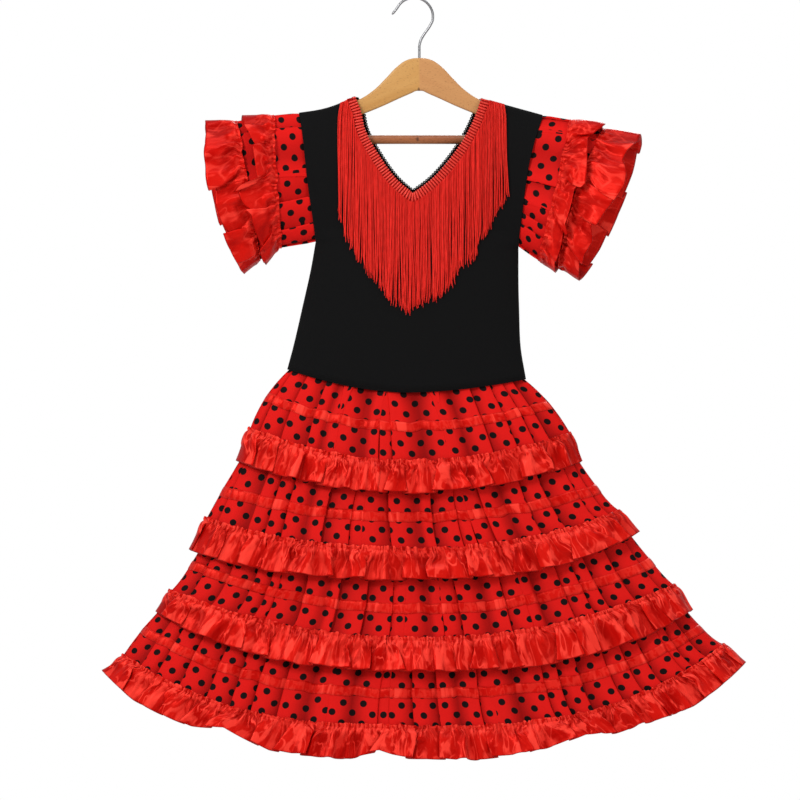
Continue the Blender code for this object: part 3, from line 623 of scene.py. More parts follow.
def pleated(curves, lifts, fullness, pleats, rng, shift=0.0, closed=False, bend_scale=1.0, puff=1.5):
    """Cloth in knife pleats across rows of curves. curves are (points, normals), from
    the gathered top to the seam, and lifts are each row's place out from its curve."""
    lengths = [length_along(points)[-1] for points, _ in curves]
    cloth_width = lengths[-1] * fullness
    shares = rng.uniform(*PLEAT_SPREAD, pleats)
    cloths = cloth_width * shares / shares.sum()
    facings = np.where(rng.random(pleats) < 0.5, -1, 1)
    if not closed:
        facings[: pleats // 4] = -1
        facings[-(pleats // 4):] = 1
    opening = rng.uniform(-UNEVEN_OPENING, UNEVEN_OPENING, (2, pleats))
    sag = rng.uniform(-1, 1, pleats + 1) * shift
    rows, uvs, deeps = [], [], []
    for number, ((points, normals), lift) in enumerate(zip(curves, lifts)):
        length = lengths[number]
        t = number / (len(curves) - 1)
        ratio = length / cloth_width + opening[0] * (1 - t) + opening[1] * t
        rooms = np.minimum(ratio, WIDEST_OPEN) * cloths
        rooms *= length / rooms.sum()
        loose = math.sin(math.pi * t) ** 0.5
        bend = (PRESSED_BEND + (LOOSE_BEND - PRESSED_BEND) * loose) * bend_scale
        parts = [
            knife_pleat(cloth, room, bend, facing, puff * loose)
            for cloth, room, facing in zip(cloths, rooms, facings)
        ]
        starts = np.concatenate([[0], np.cumsum(rooms)])
        begins = np.concatenate([[0], np.cumsum(cloths)])
        along = np.concatenate([p.along[:-1] + a for p, a in zip(parts, starts)] + [[length]])
        cloth_at = np.concatenate([p.cloth[:-1] + b for p, b in zip(parts, begins)] + [[cloth_width]])
        out = np.concatenate([p.out[:-1] for p in parts] + [[parts[-1].out[-1]]])
        if not closed:
            out = out * np.clip(np.minimum(along, length - along) / END_TAPER, 0, 1)
        deeps.append((-out / bend - 0.25) / 0.9)
        row = on_curve(points, normals, along, lift + out)
        # Each pleat hangs a little higher or lower than its neighbour, and tilts.
        share = np.concatenate([p.cloth[:-1] / p.cloth[-1] + k for k, p in enumerate(parts)] + [[pleats]])
        if closed:
            sag[-1] = sag[0]
        pleat = np.minimum(share, pleats - 0.01).astype(int)
        row[:, 2] += np.interp(share % 1, [0, 0.8, 1], [-1, 1, -1]) * sag[pleat] * loose
        rows.append(row)
        uvs.append(cloth_at)
    grid = np.array(rows)
    tall = np.linalg.norm(np.diff(grid, axis=0), axis=2)
    tall = 0.5 * tall + 0.5 * np.median(tall, axis=1)[:, None]
    down = np.concatenate([np.zeros((1, grid.shape[1])), np.cumsum(tall, axis=0)])
    uv = np.stack([np.array(uvs), -down], axis=-1) * MM + rng.uniform(0, 0.5, 2)
    deep = np.clip(np.array(deeps), 0, 1) ** 0.8
    if closed:
        grid, deep = grid[:, :-1], deep[:, :-1]
    return Pleated(grid, uv, (cloth_width * MM, float(np.median(down[-1])) * MM), deep)


# %% [markdown]
# The satin band was sewn flat on the cloth before the cloth was gathered, so it goes in
# and out of every pleat with it. Its points are the flounce's own, lifted off along the
# normals, and the sewing puckers it a little.

# %% Flounces and their bands
PLEATS = ((16, 12), (20, 14), (24, 16), (28, 18))
FULLNESS = (1.29, 1.27, 1.26, 1.25)
UNDER_RUFFLE = (0.13, 0.26)  # the cloth's edge lies this share down behind its ruffle
UNDER_LIFTS = (-0.8, -1.6)
TOP_LAP = 2.5
# The band's v stays clear of the painted shadow line along the satin's hem.
BAND_V = 38.0  # mm up the satin's pattern that the band is cut from, clear of the hem's roll
SIDE_INSET = 8.0
WAIST_INSET = 3.5


def make_ribbon(number, front, back, rows):
    parts, uvs, deeps, start = [], [], [], 0.0
    for flounce, turned in ((front, False), (back, True)):
        normals = grid_normals(flounce.grid)
        sign = 1.0 if (np.median(normals[rows, :, 1]) > 0) == turned else -1.0
        cloth = flounce.uv[rows[0], :, 0] / MM
        pucker = 0.34 * (1 + np.sin(cloth / 1.25 + 2.1 * np.sin(cloth / 6.3)))
        across = np.sin(np.linspace(0, math.pi, len(rows)))[:, None]
        lift = (CLOTH + SATIN) / 2 + 0.12 + pucker[None, :] * (0.35 + 0.65 * across)
        grid = flounce.grid[rows] + sign * normals[rows] * lift[..., None]
        along = flounce.uv[rows, :, 0] - flounce.uv[rows, :1, 0]
        deep = flounce.deep[rows]
        if turned:
            grid, deep = grid[:, ::-1], deep[:, ::-1]
            along = along[:, -1:] - along[:, ::-1]
        parts.append(grid[:, 1:-1])
        deeps.append(deep[:, 1:-1])
        uvs.append(along[:, 1:-1] + start)
        start += float(along[0, -1])
    grid = np.concatenate(parts, axis=1)
    along = np.concatenate(uvs + [np.full((grid.shape[0], 1), start)], axis=1)
    down = (np.linspace(RIBBON_WIDTH, 0, grid.shape[0])[:, None] + BAND_V) * MM + 0 * along
    uv = np.stack([along, down], axis=-1)
    deep = np.concatenate(deeps, axis=1)
    piece = shell(f"ribbon_band_{number}", grid, uv, BAND_FINISH, SATIN, True, deep)
    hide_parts(f"ribbon_{number}")


def through(top, band, seam, share):
    """The line at share 0 to 2 on a smooth sheet through three lines."""
    a = 0.5 * (share - 1) * (share - 2)
    b = share * (2 - share)
    c = 0.5 * share * (share - 1)
    return Line(*(a * x + b * y + c * z for x, y, z in zip(top, band, seam)))


above = WAIST
for number, tier in enumerate(TIERS, start=1):
    rng = np.random.default_rng(10 + number)
    inset = WAIST_INSET if above is WAIST else SIDE_INSET
    tuck = -2.4 if above is WAIST else -4.6
    top = raised(above, TOP_LAP, inset)
    seam = raised(tier.seam, -1.0)
    half_band = RIBBON_WIDTH / 2
    upper = half_band / (top.mid_z - tier.ribbon.mid_z)
    lower = half_band / (tier.ribbon.mid_z - seam.mid_z)
    spots = np.concatenate([
        np.linspace(0, 1 - upper, 11), 1 + np.array([-0.5 * upper, 0, 0.5 * lower]),
        np.linspace(1 + lower, 2, 8),
    ])
    band_rows = [10, 11, 12, 13, 14]
    made = []
    for face, side in ((-1, "front"), (1, "back")):
        curves = [side_of(through(top, tier.ribbon, seam, spot), face) for spot in spots]
        curves += [side_of(between(tier.seam, tier.hem, share), face) for share in UNDER_RUFFLE]
        lifts = np.concatenate([np.interp(spots, [0, 1, 2], [tuck, 0, 0]), UNDER_LIFTS])
        cloth = pleated(curves, lifts, FULLNESS[number - 1], PLEATS[number - 1][face > 0], rng, shift=2.4)
        grid, uv, deep = cloth.grid, cloth.uv, cloth.deep
        if face > 0:
            grid, uv, deep = grid[:, ::-1], uv[:, ::-1], deep[:, ::-1]
        name = f"flounce_cloth_{number}_{side}"
        piece = shell(name, grid, uv, DOTTED, CLOTH, deep=deep)
        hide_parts(f"flounce_{number}_{side}")
        made.append(cloth)
        print(name, "columns:", grid.shape[1], "flat:", [round(x, 3) for x in cloth.flat])
    make_ribbon(number, *made, band_rows)
    above = tier.seam

# %% [markdown]
# A ruffle is a satin strip sewn on in small tight gathers. They merge two by two as
# they run down, into a few broad folds at the hem, and some of these fall over and lie
# flat. The cloth's direction is a sum of waves of three lengths. For every row, the
# waves are made just strong enough for the strip to fill the room that it has.

# %% A gathered strip
Fold = namedtuple("Fold", "place length step")
Gathered = namedtuple("Gathered", "width cloth_at along out tilt lobe deep")
STEP, FINE_STEP = 2.0, 1.15  # mm of cloth between points, and the same where it lies over
STEEPEST = 1.55  # the most, in radians, that the waves turn the cloth
HALVINGS = 26  # rounds of the search for the waves' strength
FOLD_TURN = 2.65  # how far, in radians, the cloth turns back where it lies over
FOLD_EDGE = 3.4  # mm of cloth over which it turns
FINE_REACH, MIDDLE_REACH = 8.0, 22.0  # mm down that the small and the middle gathers last
FOLD_LEAN = 6.0  # how far a fold's foot may be to one side of its root, in mm of cloth


def scattered_folds(rng, count, chance, length, step):
    """Folds at uneven places round a strip. place is a share of the way round, length
    (mm) how much cloth lies over, and step (mm) how much further the upper panel's hem
    reaches; its sign says on which side the upper panel is."""
    shares = rng.uniform(0.55, 1.45, count)
    shares /= shares.sum()
    starts = np.concatenate([[0], np.cumsum(shares)[:-1]])
    places = starts + shares * rng.uniform(0.35, 0.65, count)
    lengths = length * rng.uniform(0.45, 1.15, count) * shares * count * (rng.random(count) < chance)
    steps = step * rng.uniform(0.5, 1.0, count) * rng.choice((-1.0, 1.0), count)
    return [Fold(*row) for row in zip(places, lengths, steps)]


def solved_rows(waves, falls, steps, ends, rooms):
    """Profiles, one a row, of cloth whose heading is k * waves + falls, with k found for
    each stretch so that it fills its room. Returns places along and out."""
    starts = ends[:-1]
    sizes = np.diff(ends)
    low = np.zeros((waves.shape[0], len(sizes)))
    peak = np.maximum.reduceat(np.abs(waves), starts, axis=1)
    high = STEEPEST / np.maximum(peak, 1e-6)
    for _ in range(HALVINGS):
        k = (low + high) / 2
        heading = np.repeat(k, sizes, axis=1) * waves + falls
        filled = np.add.reduceat(np.cos(heading) * steps, starts, axis=1)
        long = filled > rooms
        low, high = np.where(long, k, low), np.where(long, high, k)
    heading = np.repeat(k, sizes, axis=1) * waves + falls
    go = np.cos(heading) * steps
    rise = np.sin(heading) * steps
    filled = np.add.reduceat(go, starts, axis=1)
    cloth = np.add.reduceat(steps, starts)
    go = go + np.repeat((rooms - filled) / cloth, sizes, axis=1) * steps
    drift = np.add.reduceat(rise, starts, axis=1)
    rise = rise - np.repeat(drift / cloth, sizes, axis=1) * steps
    zero = np.zeros((waves.shape[0], 1))
    along = np.concatenate([zero, np.cumsum(go, axis=1)], axis=1)
    out = np.concatenate([zero, np.cumsum(rise, axis=1)], axis=1)
    return along, out


def gather(curves, drops, fullness, rng, fine, folds, depth_limit):
    """A closed strip round the curves. drops are the rows' distances below the seam."""
    lengths = np.array([length_along(points)[-1] for points, _ in curves])
    at_seam = int(np.argmin(np.abs(drops)))
    cloth_width = lengths[at_seam] * fullness
    tall = drops[-1]
    # Stretches of cloth, each with one fold, and finer steps where it lies over.
    places = np.array([fold.place for fold in folds])
    borders = np.concatenate([[0], (places[1:] + places[:-1]) / 2, [1]]) * cloth_width
    cloths = np.diff(borders)
    centres = places * cloth_width
    steps, ends = [], [0]
    for fold, centre, first, last in zip(folds, centres, borders, borders[1:]):
        reach = fold.length / 2 + 5.0 + FOLD_LEAN
        low, high = max(first + 2.0, centre - reach), min(last - 2.0, centre + reach)
        parts = [(first, low, STEP), (low, high, FINE_STEP), (high, last, STEP)]
        if fold.length == 0:
            parts = [(first, last, STEP)]
        for start, stop, spacing in parts:
            pieces = max(1, round((stop - start) / spacing))
            steps += [(stop - start) / pieces] * pieces
        ends.append(len(steps))
    steps = np.array(steps)
    cloth_at = np.concatenate([[0], np.cumsum(steps)])
    middle = (cloth_at[1:] + cloth_at[:-1]) / 2
    n = len(steps)
    # Phase of the finest gathers, uneven along the strip and closed on itself.
    uneven = 1 + 0.6 * wander(n, 4.5, rng)
    phase = np.cumsum(steps * uneven)
    phase = phase / phase[-1] * round(phase[-1] / fine / 4) * 4 * 2 * math.pi
    strength = 1 + 0.6 * wander(n, 11, rng)
    t = np.clip(np.asarray(drops) / tall, 0, 1)[:, None]
    down = np.maximum(np.asarray(drops), 0)[:, None]
    slant = 1.6 * wander(n, 17, rng)[None, :] * t
    w_fine = np.exp(-((down / FINE_REACH) ** 1.4)) + 0.02
    w_mid = np.clip(down / 6, 0, 1) * np.exp(-((down / MIDDLE_REACH) ** 2)) * 0.9 + 0.08
    w_broad = np.clip((down - 3) / 16, 0, 1) + 0.05
    waves = (
        strength[None, :] * w_fine * np.sin(phase[None, :] + slant)
        + strength[None, ::-1] * w_mid * np.sin(phase[None, :] / 2 + 0.8 + 0.7 * slant)
        + w_broad * np.sin(phase[None, :] / 4 + 1.9 + 1.2 * wander(n, 15, rng)[None, :])
    )
    falls = np.zeros_like(waves)
    leans = rng.uniform(-FOLD_LEAN, FOLD_LEAN, len(folds))
    tilt_at, tilts = [0.0], [0.0]
    for k, fold in enumerate(folds):
        if fold.length == 0:
            continue
        facing = math.copysign(1, fold.step)
        begin_at = rng.uniform(-0.1, 0.3)
        grown = np.clip((t - begin_at) / 0.55, 0, 1)
        half = fold.length * grown / 2
        root = centres[k] + leans[k] * (2 * t - 1) - 4 * (1 - t) * facing
        away = np.abs(middle[None, :] - root)
        hold = np.clip((half + FOLD_EDGE - away) / FOLD_EDGE, 0, 1)
        inside = (cloth_at[ends[k]] < middle) & (middle < cloth_at[ends[k + 1]])
        falls -= facing * FOLD_TURN * np.minimum(grown * 3, 1) * hold * inside[None, :]
        foot = centres[k] + leans[k]
        tilt_at += [foot - fold.length / 2, foot + fold.length / 2]
        tilts += [fold.step / 2, -fold.step / 2]
    rooms = lengths[:, None] * (cloths / cloth_width)[None, :]
    waves = waves * (1 - 0.85 * np.clip(np.abs(falls), 0, 1))
    along, out = solved_rows(waves, falls, steps, np.array(ends), rooms)
    limit = np.asarray(depth_limit)[:, None]
    out = limit * np.tanh(out / limit)
    tilt = np.interp(cloth_at, tilt_at + [cloth_width], tilts + [0.0])
    # Between two folds the free edge of a panel is rounded.
    feet = np.concatenate([[0], centres + leans, [cloth_width]])
    panel = np.clip(np.searchsorted(feet, cloth_at, side="right") - 1, 0, len(feet) - 2)
    lobe = np.sin(math.pi * np.clip((cloth_at - feet[panel]) / (feet[panel + 1] - feet[panel]), 0, 1))
    deep = np.clip(0.5 - 0.75 * out / limit, 0, 1) ** 1.5
    return Gathered(cloth_width, cloth_at, along, out, tilt[:-1], lobe[:-1], deep[:, :-1])


# %% [markdown]
# The ruffles of the skirt share one set of rows, given as distances below the seam in mm.
# The rows are close together at the stitching, where the gathers are small.

# %% Measures of the ruffles
RUFFLE_DROPS = np.array([
    -4.6, -3.3, -1.9, -0.8, 0.0, 1.2, 2.8, 4.8, 7.2,
    10.1, 13.5, 17.3, 21.4, 25.7, 30.1, 34.5, 38.0, 40.5,
])
SEAM_ROW = 4
RUFFLE_FULLNESS = 1.58
FOLD_PITCH = 33.0
HEM_STEP = 2.8
HEM_ROUND = 1.0
print("ruffle rows:", len(RUFFLE_DROPS))


def loop_of(line):
    """A skirt line all the way round: front from left to right, then the back."""
    front, front_normals = side_of(line, -1)
    back, back_normals = side_of(line, 1)
    points = np.concatenate([front, back[::-1], front[:1]])
    normals = np.concatenate([front_normals, back_normals[::-1], front_normals[:1]])
    return points, normals


def hem_up(drops):
    """v of a strip's rows in metres: 0 at the free hem, rising to the gathered seam."""
    return (drops[-1] - drops) * MM


def make_ruffle(number, tier):
    rng = np.random.default_rng(30 + number)
    tall = RUFFLE_DROPS[-1]
    curves = []
    for drop in RUFFLE_DROPS:
        line = between(tier.seam, tier.hem, drop / tall)
        if drop < 0:
            line = between(tier.seam, tier.ribbon, drop / (tier.seam.mid_z - tier.ribbon.mid_z))
        curves.append(loop_of(line))
    t = np.clip(RUFFLE_DROPS / tall, 0, 1)
    seam_length = length_along(curves[SEAM_ROW][0])[-1]
    step = HEM_STEP * (0.4 if number == len(TIERS) else 1)
    folds = scattered_folds(rng, round(seam_length / FOLD_PITCH), 0.85, 7.8, step)
    cloth_width, cloth_at, along, out, tilt, lobe, deep = gather(
        curves, RUFFLE_DROPS, RUFFLE_FULLNESS, rng, fine=9.0, folds=folds, depth_limit=2.4 + 5.0 * t
    )
    # The stitching presses the gathers, and they swell out above and below it.
    pinch = 1 - 0.55 * np.exp(-((RUFFLE_DROPS / 1.2) ** 2))
    out = out * pinch[:, None]
    base = np.interp(RUFFLE_DROPS, [-4.6, -1, 0, 3, 8, 20, tall], [2.6, 2.4, 1.9, 3.0, 3.6, 3.0, 1.2])
    heading = 1.4 * wander(out.shape[1] - 1, 6, rng)
    rows = []
    half = (tier.hem.right_x - tier.hem.left_x) / 2
    for k, (points, normals) in enumerate(curves):
        flat_row = on_curve(points, normals, along[k, :-1], 0 * along[k, :-1])
        u = np.clip((flat_row[:, 0] - (tier.hem.right_x + tier.hem.left_x) / 2) / half, -1, 1)
        # At the sides the strip turns a tight corner, and its folds lie flatter there.
        calm = 1 - 0.75 * np.exp(-(((1 - np.abs(u)) / 0.045) ** 2))
        row = on_curve(points, normals, along[k, :-1], base[k] * calm + out[k, :-1] * calm)
        if number == len(TIERS):
            up = np.interp(u, [r.u for r in LOWEST_EDGE], [r.up for r in LOWEST_EDGE])
            row[:, 2] += up * t[k] ** 1.5
        row[:, 2] += (0.30 * out[k, :-1] + (tilt - HEM_ROUND * lobe) * calm) * t[k] ** 2
        if RUFFLE_DROPS[k] < -1:
            row[:, 2] += calm * (0.45 * out[k, :-1] + heading) * (RUFFLE_DROPS[k] / RUFFLE_DROPS[0])
            row[:, 2] += (1 - calm) * RUFFLE_DROPS[k] * 0.9
        rows.append(row)
    grid = np.array(rows)
    uv = np.stack(np.broadcast_arrays(cloth_at[None, :] * MM, hem_up(RUFFLE_DROPS)[:, None]), axis=-1)
    piece = shell(f"ruffle_satin_{number}", grid, uv, SATIN_FINISH, SATIN, True, deep)
    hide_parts(f"ruffle_{number}")


# %% Ruffles of the skirt
for number, tier in enumerate(TIERS, start=1):
    make_ruffle(number, tier)

# %% [markdown]
# The bodice is black stretch knit. It is lofted through the same sections as the solid,
# with many more rows, and each edge is a smooth curve that keeps the corner at the
# armhole and the point of the V.

# %% Bodice
Section = namedtuple("Section", "outer_x outer_z inner_x inner_z depth")
LEFT_HALF = (
    Section(-167.0, -489, -9.6, -519.5, 27),
    Section(-158.0, -455, -8.0, -470.0, 26),
    Section(-146.5, -405, -6.0, -415.0, 25),
    Section(-136.0, -358, -4.0, -360.0, 24),
    Section(-129.5, -321, -2.5, -318.0, 23),
    Section(-131.5, -306, -2.0, -285.0, 22.5),
    Section(-134.5, -285, -1.5, -257.0, 21),
    Section(-139.5, -250, -25.0, -236.0, 20),
    Section(-143.5, -215, -47.5, -204.5, 18),
    Section(-147.0, -182, -65.0, -171.5, 14),
    Section(-150.0, -161, -71.0, -145.0, 9.5),
    Section(-151.5, -153.5, -76.3, -132.2, 7.8),
    Section(-151.8, -150.5, -77.2, -129.0, 0.45),
)
RIGHT_HALF = (
    Section(147.5, -502, -9.6, -519.5, 27),
    Section(140.5, -460, -8.0, -470.0, 26),
    Section(138.5, -412, -6.0, -415.0, 25),
    Section(137.5, -364, -4.0, -360.0, 24),
    Section(137.5, -328, -2.5, -318.0, 23),
    Section(138.9, -313, -2.0, -285.0, 22.5),
    Section(142.0, -290, -1.5, -257.0, 21),
    Section(146.5, -254, 25.5, -236.0, 20),
    Section(152.0, -218, 52.5, -204.5, 18),
    Section(160.5, -184, 73.0, -171.5, 14),
    Section(167.0, -164, 83.5, -147.0, 9.5),
    Section(169.3, -156.5, 87.6, -134.2, 7.8),
    Section(169.6, -153.4, 88.3, -131.0, 0.45),
)
ARMPIT = 4
NECK_POINT = 6
ARMHOLE_DEPTH = 15.0
ROWS_A_GAP = 5
HALF_STEPS = 28
SHOULDER_HOLLOW = 4.0  # how far the left shoulder's line sags between neck and armhole


def eased(knots, values, spots, corner=None):
    """A smooth curve through values that doesn't overshoot. It may turn at a corner."""
    knots, values = np.asarray(knots, float), np.asarray(values, float)
    if corner is not None:
        low = spots <= knots[corner]
        first = eased(knots[: corner + 1], values[: corner + 1], spots[low])
        return np.concatenate([first, eased(knots[corner:], values[corner:], spots[~low])])
    gaps = np.diff(knots)
    rates = np.diff(values) / gaps
    slopes = np.concatenate([rates[:1], (rates[1:] + rates[:-1]) / 2, rates[-1:]])
    slopes[1:-1] = np.where(rates[1:] * rates[:-1] > 0, slopes[1:-1], 0)
    k = np.clip(np.searchsorted(knots, spots, side="right") - 1, 0, len(gaps) - 1)
    t = (spots - knots[k]) / gaps[k]
    a, b = values[k], values[k + 1]
    m, n = slopes[k] * gaps[k], slopes[k + 1] * gaps[k]
    from_a, to_b = (2 * t**3 - 3 * t**2 + 1) * a, (3 * t**2 - 2 * t**3) * b
    return from_a + (t**3 - 2 * t**2 + t) * m + to_b + (t**3 - t**2) * n


def bodice_half(sections, face, hollow=0.0):
    """A grid from the waist up, each row from the side or armhole to the middle."""
    count = len(sections)
    knots = np.arange(count)
    spots = np.linspace(0, count - 1, (count - 1) * ROWS_A_GAP + 1)
    table = np.array(sections)
    heights = -table[:, 1]
    order = length_along(np.stack([table[:, 0], heights], axis=1))
    places = np.interp(spots, knots, order)
    outer_x = eased(order, table[:, 0], places, ARMPIT)
    outer_z = eased(order, table[:, 1], places)
    inner_x = eased(order, table[:, 2], places, NECK_POINT)
    inner_z = eased(order, table[:, 3], places, NECK_POINT)
    depth = eased(order, table[:, 4], places, count - 2)
    top, bottom = table[-1, 1], table[ARMPIT, 1]
    height = np.clip((2 * outer_z - top - bottom) / (top - bottom), -1, 1)
    edge = np.where(spots < ARMPIT, 0.0, ARMHOLE_DEPTH * np.sqrt(1 - height**2))
    edge = np.minimum(edge, depth)
    opened = np.clip(spots - ARMPIT, 0, 1)[:, None]
    share = np.linspace(0, 1, HALF_STEPS + 1)[None, :] ** 1.35
    closed_bulge = np.sqrt(1 - (1 - share) ** 2)
    open_bulge = np.sin(share * math.pi / 2)
    bulge = closed_bulge * (1 - opened) + open_bulge * opened
    waist = np.clip(1 - spots, 0, 1)[:, None]
    fall = share * (1 - waist) + (1 - (1 - share) ** WAIST.power) * waist
    x = outer_x[:, None] + (inner_x - outer_x)[:, None] * share
    y = edge[:, None] + (depth - edge)[:, None] * bulge
    z = outer_z[:, None] + (inner_z - outer_z)[:, None] * fall
    near_top = np.clip((spots - NECK_POINT) / (count - 1 - NECK_POINT), 0, 1)[:, None] ** 2
    z -= hollow * near_top * np.sin(math.pi * np.minimum(share, 1)) ** 1.2
    return np.stack([x, face * (0.35 + y), z], axis=-1)


def weld(made, distance=0.00002):
    merge = made.modifiers.new("weld", "WELD")
    merge.merge_threshold = distance
    return made


def joined_mesh(name, grids, flips):
    points, faces, start = [], [], 0
    for grid, flip in zip(grids, flips):
        rows, columns = grid.shape[:2]
        index = np.arange(rows * columns).reshape(rows, columns) + start
        quad = [index[:-1, :-1], index[1:, :-1], index[1:, 1:], index[:-1, 1:]]
        if flip:
            quad = quad[::-1]
        faces += np.stack(quad, axis=-1).reshape(-1, 4).tolist()
        points.append(grid.reshape(-1, 3) * MM)
        start += rows * columns
    mesh = bpy.data.meshes.new(name)
    mesh.from_pydata(np.concatenate(points).tolist(), [], faces)
    mesh.shade_smooth()
    return mesh


def make_bodice(side, face):
    left, right = bodice_half(LEFT_HALF, face, SHOULDER_HOLLOW), bodice_half(RIGHT_HALF, face)
    neck_row = NECK_POINT * ROWS_A_GAP
    middle = (left[: neck_row + 1, -1] + right[: neck_row + 1, -1]) / 2
    left[: neck_row + 1, -1] = right[: neck_row + 1, -1] = middle
    mesh = joined_mesh(f"bodice_knit_{side}", (left, right), (face > 0, face < 0))
    mesh.materials.append(KNIT_FINISH)
    made = linked(mesh.name, mesh)
    weld(made)
    walled(made, KNIT)
    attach(made, "root")
    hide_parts(f"bodice_{side}")
    return made, left, right


bodice_front, front_left, front_right = make_bodice("front", -1)
bodice_back, back_left, back_right = make_bodice("back", 1)

# %% [markdown]
# Each sleeve is a short pleated tube. Its first ring follows the armhole, and two satin
# ruffles stand out from it like petals. They use the same gathering as the skirt's
# ruffles, on rings instead of lines.

# %% Sleeves
Ring = namedtuple("Ring", "top_x top_z bottom_x bottom_z depth bow")
Sleeve = namedtuple("Sleeve", "upper_seam lower_seam upper_hem lower_hem")
SLEEVES = {
    "left": Sleeve(
        upper_seam=Ring(-188, -154, -178, -329, 24, 2),
        lower_seam=Ring(-237, -162, -205, -346, 30, -1),
        upper_hem=Ring(-227, -154, -196, -351, 43, 6),
        lower_hem=Ring(-275, -161, -225, -363, 44, 15),
    ),
    "right": Sleeve(
        upper_seam=Ring(209, -160, 166, -346, 24, 2),
        lower_seam=Ring(252, -172, 193, -356, 30, -9),
        upper_hem=Ring(249, -163, 188, -361, 43, 6),
        lower_hem=Ring(299, -179, 220, -371, 44, 11),
    ),
}
LOOP_STEPS = 360


def ring_loop(ring):
    """Points and outward normals round a ring, from its top down the front."""
    angle = np.linspace(0, 2 * math.pi, LOOP_STEPS + 1)
    top = np.array([ring.top_x, 0, ring.top_z], float)
    bottom = np.array([ring.bottom_x, 0, ring.bottom_z], float)
    middle, reach = (top + bottom) / 2, (top - bottom) / 2
    half = np.linalg.norm(reach)
    outwards = np.array([reach[2], 0, -reach[0]]) / half
    outwards *= math.copysign(1, outwards[0] * middle[0])
    cos, sin = np.cos(angle)[:, None], np.sin(angle)[:, None]
    points = middle + reach * cos + outwards * ring.bow * sin**2
    points[:, 1] = -ring.depth * sin[:, 0]
    normals = (reach / half) * (cos / half) + np.array([0, -1, 0]) * sin / ring.depth
    normals /= np.linalg.norm(normals, axis=1)[:, None]
    return points, normals


def armhole_loop(front, back):
    """The same for the armhole, from the edges of the bodice's two panels."""
    start = ARMPIT * ROWS_A_GAP
    down_front, up_back = front[:start - 1:-1, 0], back[start:, 0]
    edge = np.concatenate([down_front, up_back])
    edge = np.concatenate([edge, edge[:1]])
    edge[:, 0] += math.copysign(0.2, edge[0, 0])
    along = length_along(edge)
    # The same number of points as a ring, at the same shares of the way round.
    half = along[len(down_front) - 1]
    ring_share = (1 - np.cos(np.linspace(0, math.pi, LOOP_STEPS // 2 + 1))) / 2
    places = np.concatenate([ring_share * half, half + ring_share[1:] * (along[-1] - half)])
    points = np.stack([np.interp(places, along, edge[:, k]) for k in range(3)], axis=1)
    middle = (points[0] + points[LOOP_STEPS // 2]) / 2
    normals = points - middle
    normals[:, 0] = 0
    normals[:, 1] *= 4
    normals /= np.linalg.norm(normals, axis=1)[:, None]
    return points, normals


def mix_loops(one, other, share):
    return tuple(a + (b - a) * share for a, b in zip(one, other))


SLEEVE_DROPS = np.array([
    -2.6, -1.7, -0.8, 0.0, 1.4, 3.0, 5.0, 7.6, 10.8,
    14.5, 18.6, 23.0, 27.5, 32.0, 36.5, 40.5, 44.0,
])
# How much further a free edge reaches (mm) at shares of the way down its front.
Reach = namedtuple("Reach", "share out")
FREE_EDGES = {
    "left_upper": (
        Reach(0, 0), Reach(0.10, 0), Reach(0.16, -9), Reach(0.25, -15), Reach(0.43, -18), Reach(0.47, 6),
        Reach(0.51, 17), Reach(0.58, 12), Reach(0.64, 0), Reach(0.80, 0), Reach(1, 0),
    ),
    "left_lower": (
        Reach(0, 0), Reach(0.1, -1), Reach(0.2, -4), Reach(0.3, -3), Reach(0.44, -1), Reach(0.62, 1),
        Reach(0.70, -2), Reach(1, 0),
    ),
    "right_upper": (
        Reach(0, 0), Reach(0.06, 2), Reach(0.11, -8), Reach(0.15, -14), Reach(0.24, -14), Reach(0.42, -8),
        Reach(0.45, -14), Reach(0.575, -16), Reach(0.65, -17), Reach(0.70, -10), Reach(0.9, -8), Reach(1, 0),
    ),
    "right_lower": (
        Reach(0, 0), Reach(0.08, 0), Reach(0.16, -17), Reach(0.22, -19), Reach(0.30, -12), Reach(0.36, -10),
        Reach(0.455, -14), Reach(0.53, -21), Reach(0.60, -24), Reach(0.69, -16), Reach(0.77, -19),
        Reach(0.87, -12), Reach(0.94, -6), Reach(1, 0),
    ),
}
# The same behind, where the free edge is another than in front.
FREE_EDGES_BEHIND = {
    "left_upper": (Reach(0, 0), Reach(1, 0)),
    "right_upper": (Reach(0, 0), Reach(1, 0)),
    "right_lower": (Reach(0, 0), Reach(0.12, 3), Reach(0.5, 2), Reach(0.85, 1), Reach(1, 0)),
}
SLEEVE_FOLDS = {
    "left_upper": (
        Fold(0.05, 4, -2), Fold(0.12, 6, -4), Fold(0.235, 9, 5), Fold(0.32, 8, -5), Fold(0.41, 8, -3),
    ),
    "left_lower": (Fold(0.202, 9, 8), Fold(0.35, 8, -5), Fold(0.44, 5, 0.5)),
    "right_upper": (Fold(0.07, 5, 2), Fold(0.215, 9, 6), Fold(0.335, 8, 5), Fold(0.43, 5, 1)),
    "right_lower": (Fold(0.20, 7, 3), Fold(0.30, 9, 5), Fold(0.40, 8, 4)),
}
SLEEVE_ROUND = 3.0  # how far (mm) the free edge of a panel bulges between its folds
BEHIND_FOLDS = (Fold(0.48, 5, 1), Fold(0.58, 8, 1.5), Fold(0.69, 7, -1.5), Fold(0.8, 8, 1), Fold(0.92, 6, -1))
SLEEVE_FULLNESS = 1.42
SLEEVE_TUBE_FULLNESS = 1.26
SLEEVE_PLEATS = 14
SEAM_WANDER = 1.6  # how far (mm) the gathers stray from a straight line round the sleeve


def tucked(loop, shift, keep=0.985):
    """A loop moved in under the edge that it starts from."""
    points, normals = loop
    middle = points.mean(axis=0)
    return middle + (points - middle) * keep - np.array([shift, 0, 0]), normals


